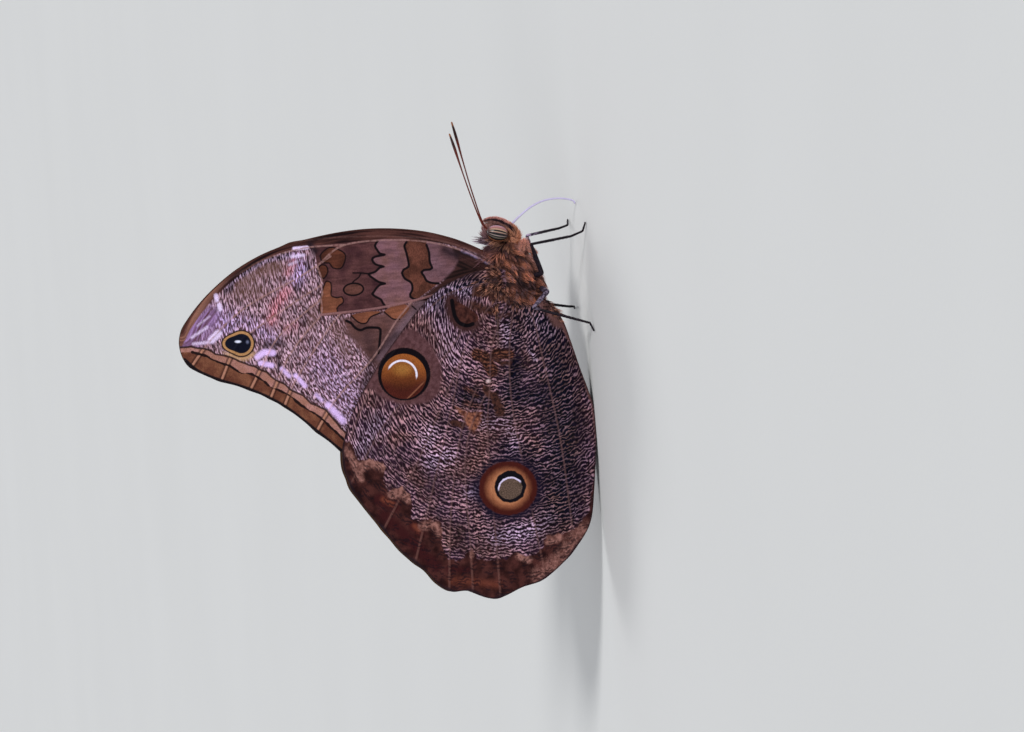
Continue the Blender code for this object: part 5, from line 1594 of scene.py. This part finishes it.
    # The toothed margin: brown, tan at the tips of its teeth, maroon and black inside them
    teeth = times_plus(minus(mottle(where, 1.1, 4.0), 0.5), 1.5, "teeth")
    banded = layered(
        tinted(mottle(where, 0.55, 4.0, 0.16), (0.017, 0.004, 0.004), (0.075, 0.023, 0.019)),
        (fade("maroon", 0.1, 0.9), (0.04, 0.007, 0.008)),
        ("orange", (0.17, 0.045, 0.025)),
    )
    tan = fade(plus("tan", times(grain, 0.5)), 0.45, 1.1)
    banded = layered(
        banded,
        (tan, tinted(flecks, (0.12, 0.048, 0.038), (0.36, 0.175, 0.14))),
        (fade("vein", 0.24, 0.1, 0.0, 0.55), (0.17, 0.075, 0.06)),
    )
    dashes = times(fade(stroke, 0.3, 0.05), fade(mottle(where, 0.7), 0.45, 0.6))
    banded = layered(
        banded,
        (times(dashes, 0.7), (0.01, 0.004, 0.007)),
        (fade(times_plus("vein", 0.3, "margin"), 0.75, 0.3, 0.0, 0.8), (0.016, 0.007, 0.012)),
    )
    colour = layered(
        colour,
        (fade(teeth, 0.2, -0.2), banded),
        (fade("margin", 0.45, 0.1, 0.0, 0.75), (0.018, 0.009, 0.011)),
    )
    colour = scaled(stretched(colour, (0.96, 0.915, 0.97)), fade(grain, 0.25, 0.75, 0.8, 1.2))
    return colour, fade(grain, 0.3, 0.7, 0.72, 0.52), grain, 0.03


def base_fur_paint():
    tone = mottle(in_mm(), 0.8, 2.0, 0.16)
    low = tinted(tone, (0.008, 0.004, 0.006), (0.045, 0.016, 0.011))
    high = tinted(tone, (0.12, 0.062, 0.07), (0.78, 0.33, 0.215))
    streak = mottle(in_mm(), 12.0)
    return tinted(fade("strand", 0.1, 0.9), low, high), fade(streak, 0.3, 0.7, 0.9, 0.6), streak, 0.01


hindwing_finish = finish_of("hindwing_scales", hindwing_paint, Specular_IOR_Level=0.06)
base_fur_finish = finish_of("wing_base_fur", base_fur_paint, Specular_IOR_Level=0.2)
base_tuft = lock("base_tuft", 7, 1.1, 0.2, 0.065, 0.2, 15)
for side in ("left", "right"):
    made = wing_piece(f"hindwing_{side}_membrane", hindwing, hindwing_marks, side == "right",
                      hindwing_finish, dorsal_finish)
    spread = points_of(made)
    from_root = spread - HINDWING_ROOT
    from_root[:, 1] = 0.0
    unwrap = (spread[:, [0, 2]] - HINDWING_UNWRAP_START) / HINDWING_UNWRAP_SIZE
    lay_fur(made, from_root, unwrap, np.ones(len(spread)))
    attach(made, "root")
    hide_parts(f"hindwing_{side}")
    fur = coat_on(f"hindwing_{side}_base_fur", made, base_tuft, "base_fur", 0.36, 0.4, 0.45, 50,
                  base_fur_finish)
put_away(base_tuft)


# The model stands on a plain pale floor under soft studio light, seen from its right side by a long
# lens. The picture is turned a quarter, so that its right-hand edge looks down on the floor.
FRAME_WIDTH = 156.7 * MM
CAMERA_DISTANCE = 1.2
CAMERA_RISE = math.radians(7.0)
SENSOR = 36.0
LOOK_AT = Vector((-1.29, 0.0, 11.9)) * MM
PICTURE_RIGHT = Vector((-0.079, 0.0, -0.9969))


def floor_paint():
    where = in_mm()
    colour = tinted(mottle(where, 0.01), (0.74, 0.74, 0.73), (0.78, 0.78, 0.77))
    return colour, 0.85, mottle(where, 0.8), 0.02


bpy.ops.mesh.primitive_plane_add(size=12.0, location=(0, 0, 0))
floor = bpy.context.object
floor.name = "floor"
floor.data.materials.append(finish_of("floor_paper", floor_paint))

world = bpy.data.worlds.new("studio")
world.use_nodes = True
world.node_tree.nodes["Background"].inputs["Color"].default_value = (0.9, 0.94, 1.0, 1.0)
world.node_tree.nodes["Background"].inputs["Strength"].default_value = 0.42
bpy.context.scene.world = world
bpy.context.scene.view_settings.view_transform = "Standard"

for light_name, direction, angle, power in (
    ("key", (0.55, -0.75, 0.6), 14.0, 1.75),
    ("fill", (-0.5, -0.8, 0.2), 50.0, 0.45),
    ("rim", (0.2, 0.7, 0.7), 20.0, 0.6),
):
    lamp = bpy.data.lights.new(light_name, "SUN")
    lamp.angle = math.radians(angle)
    lamp.energy = power
    holder = bpy.data.objects.new(light_name, lamp)
    holder.rotation_euler = (-Vector(direction)).to_track_quat("-Z", "Y").to_euler()
    collection.objects.link(holder)

ahead = Vector((0.0, math.cos(CAMERA_RISE), -math.sin(CAMERA_RISE)))
right = (PICTURE_RIGHT - ahead * PICTURE_RIGHT.dot(ahead)).normalized()
above = right.cross(ahead)
camera_data = bpy.data.cameras.new("camera")
camera_data.sensor_width = SENSOR
camera_data.lens = SENSOR * CAMERA_DISTANCE / FRAME_WIDTH
camera_data.clip_start, camera_data.clip_end = 0.05, 20.0
camera = bpy.data.objects.new("camera", camera_data)
turned = camera.matrix_world.to_3x3()
for row in range(3):
    turned[row][0], turned[row][1], turned[row][2] = right[row], above[row], -ahead[row]
camera.matrix_world = turned.to_4x4()
camera.location = LOOK_AT - ahead * CAMERA_DISTANCE
collection.objects.link(camera)
bpy.context.scene.camera = camera
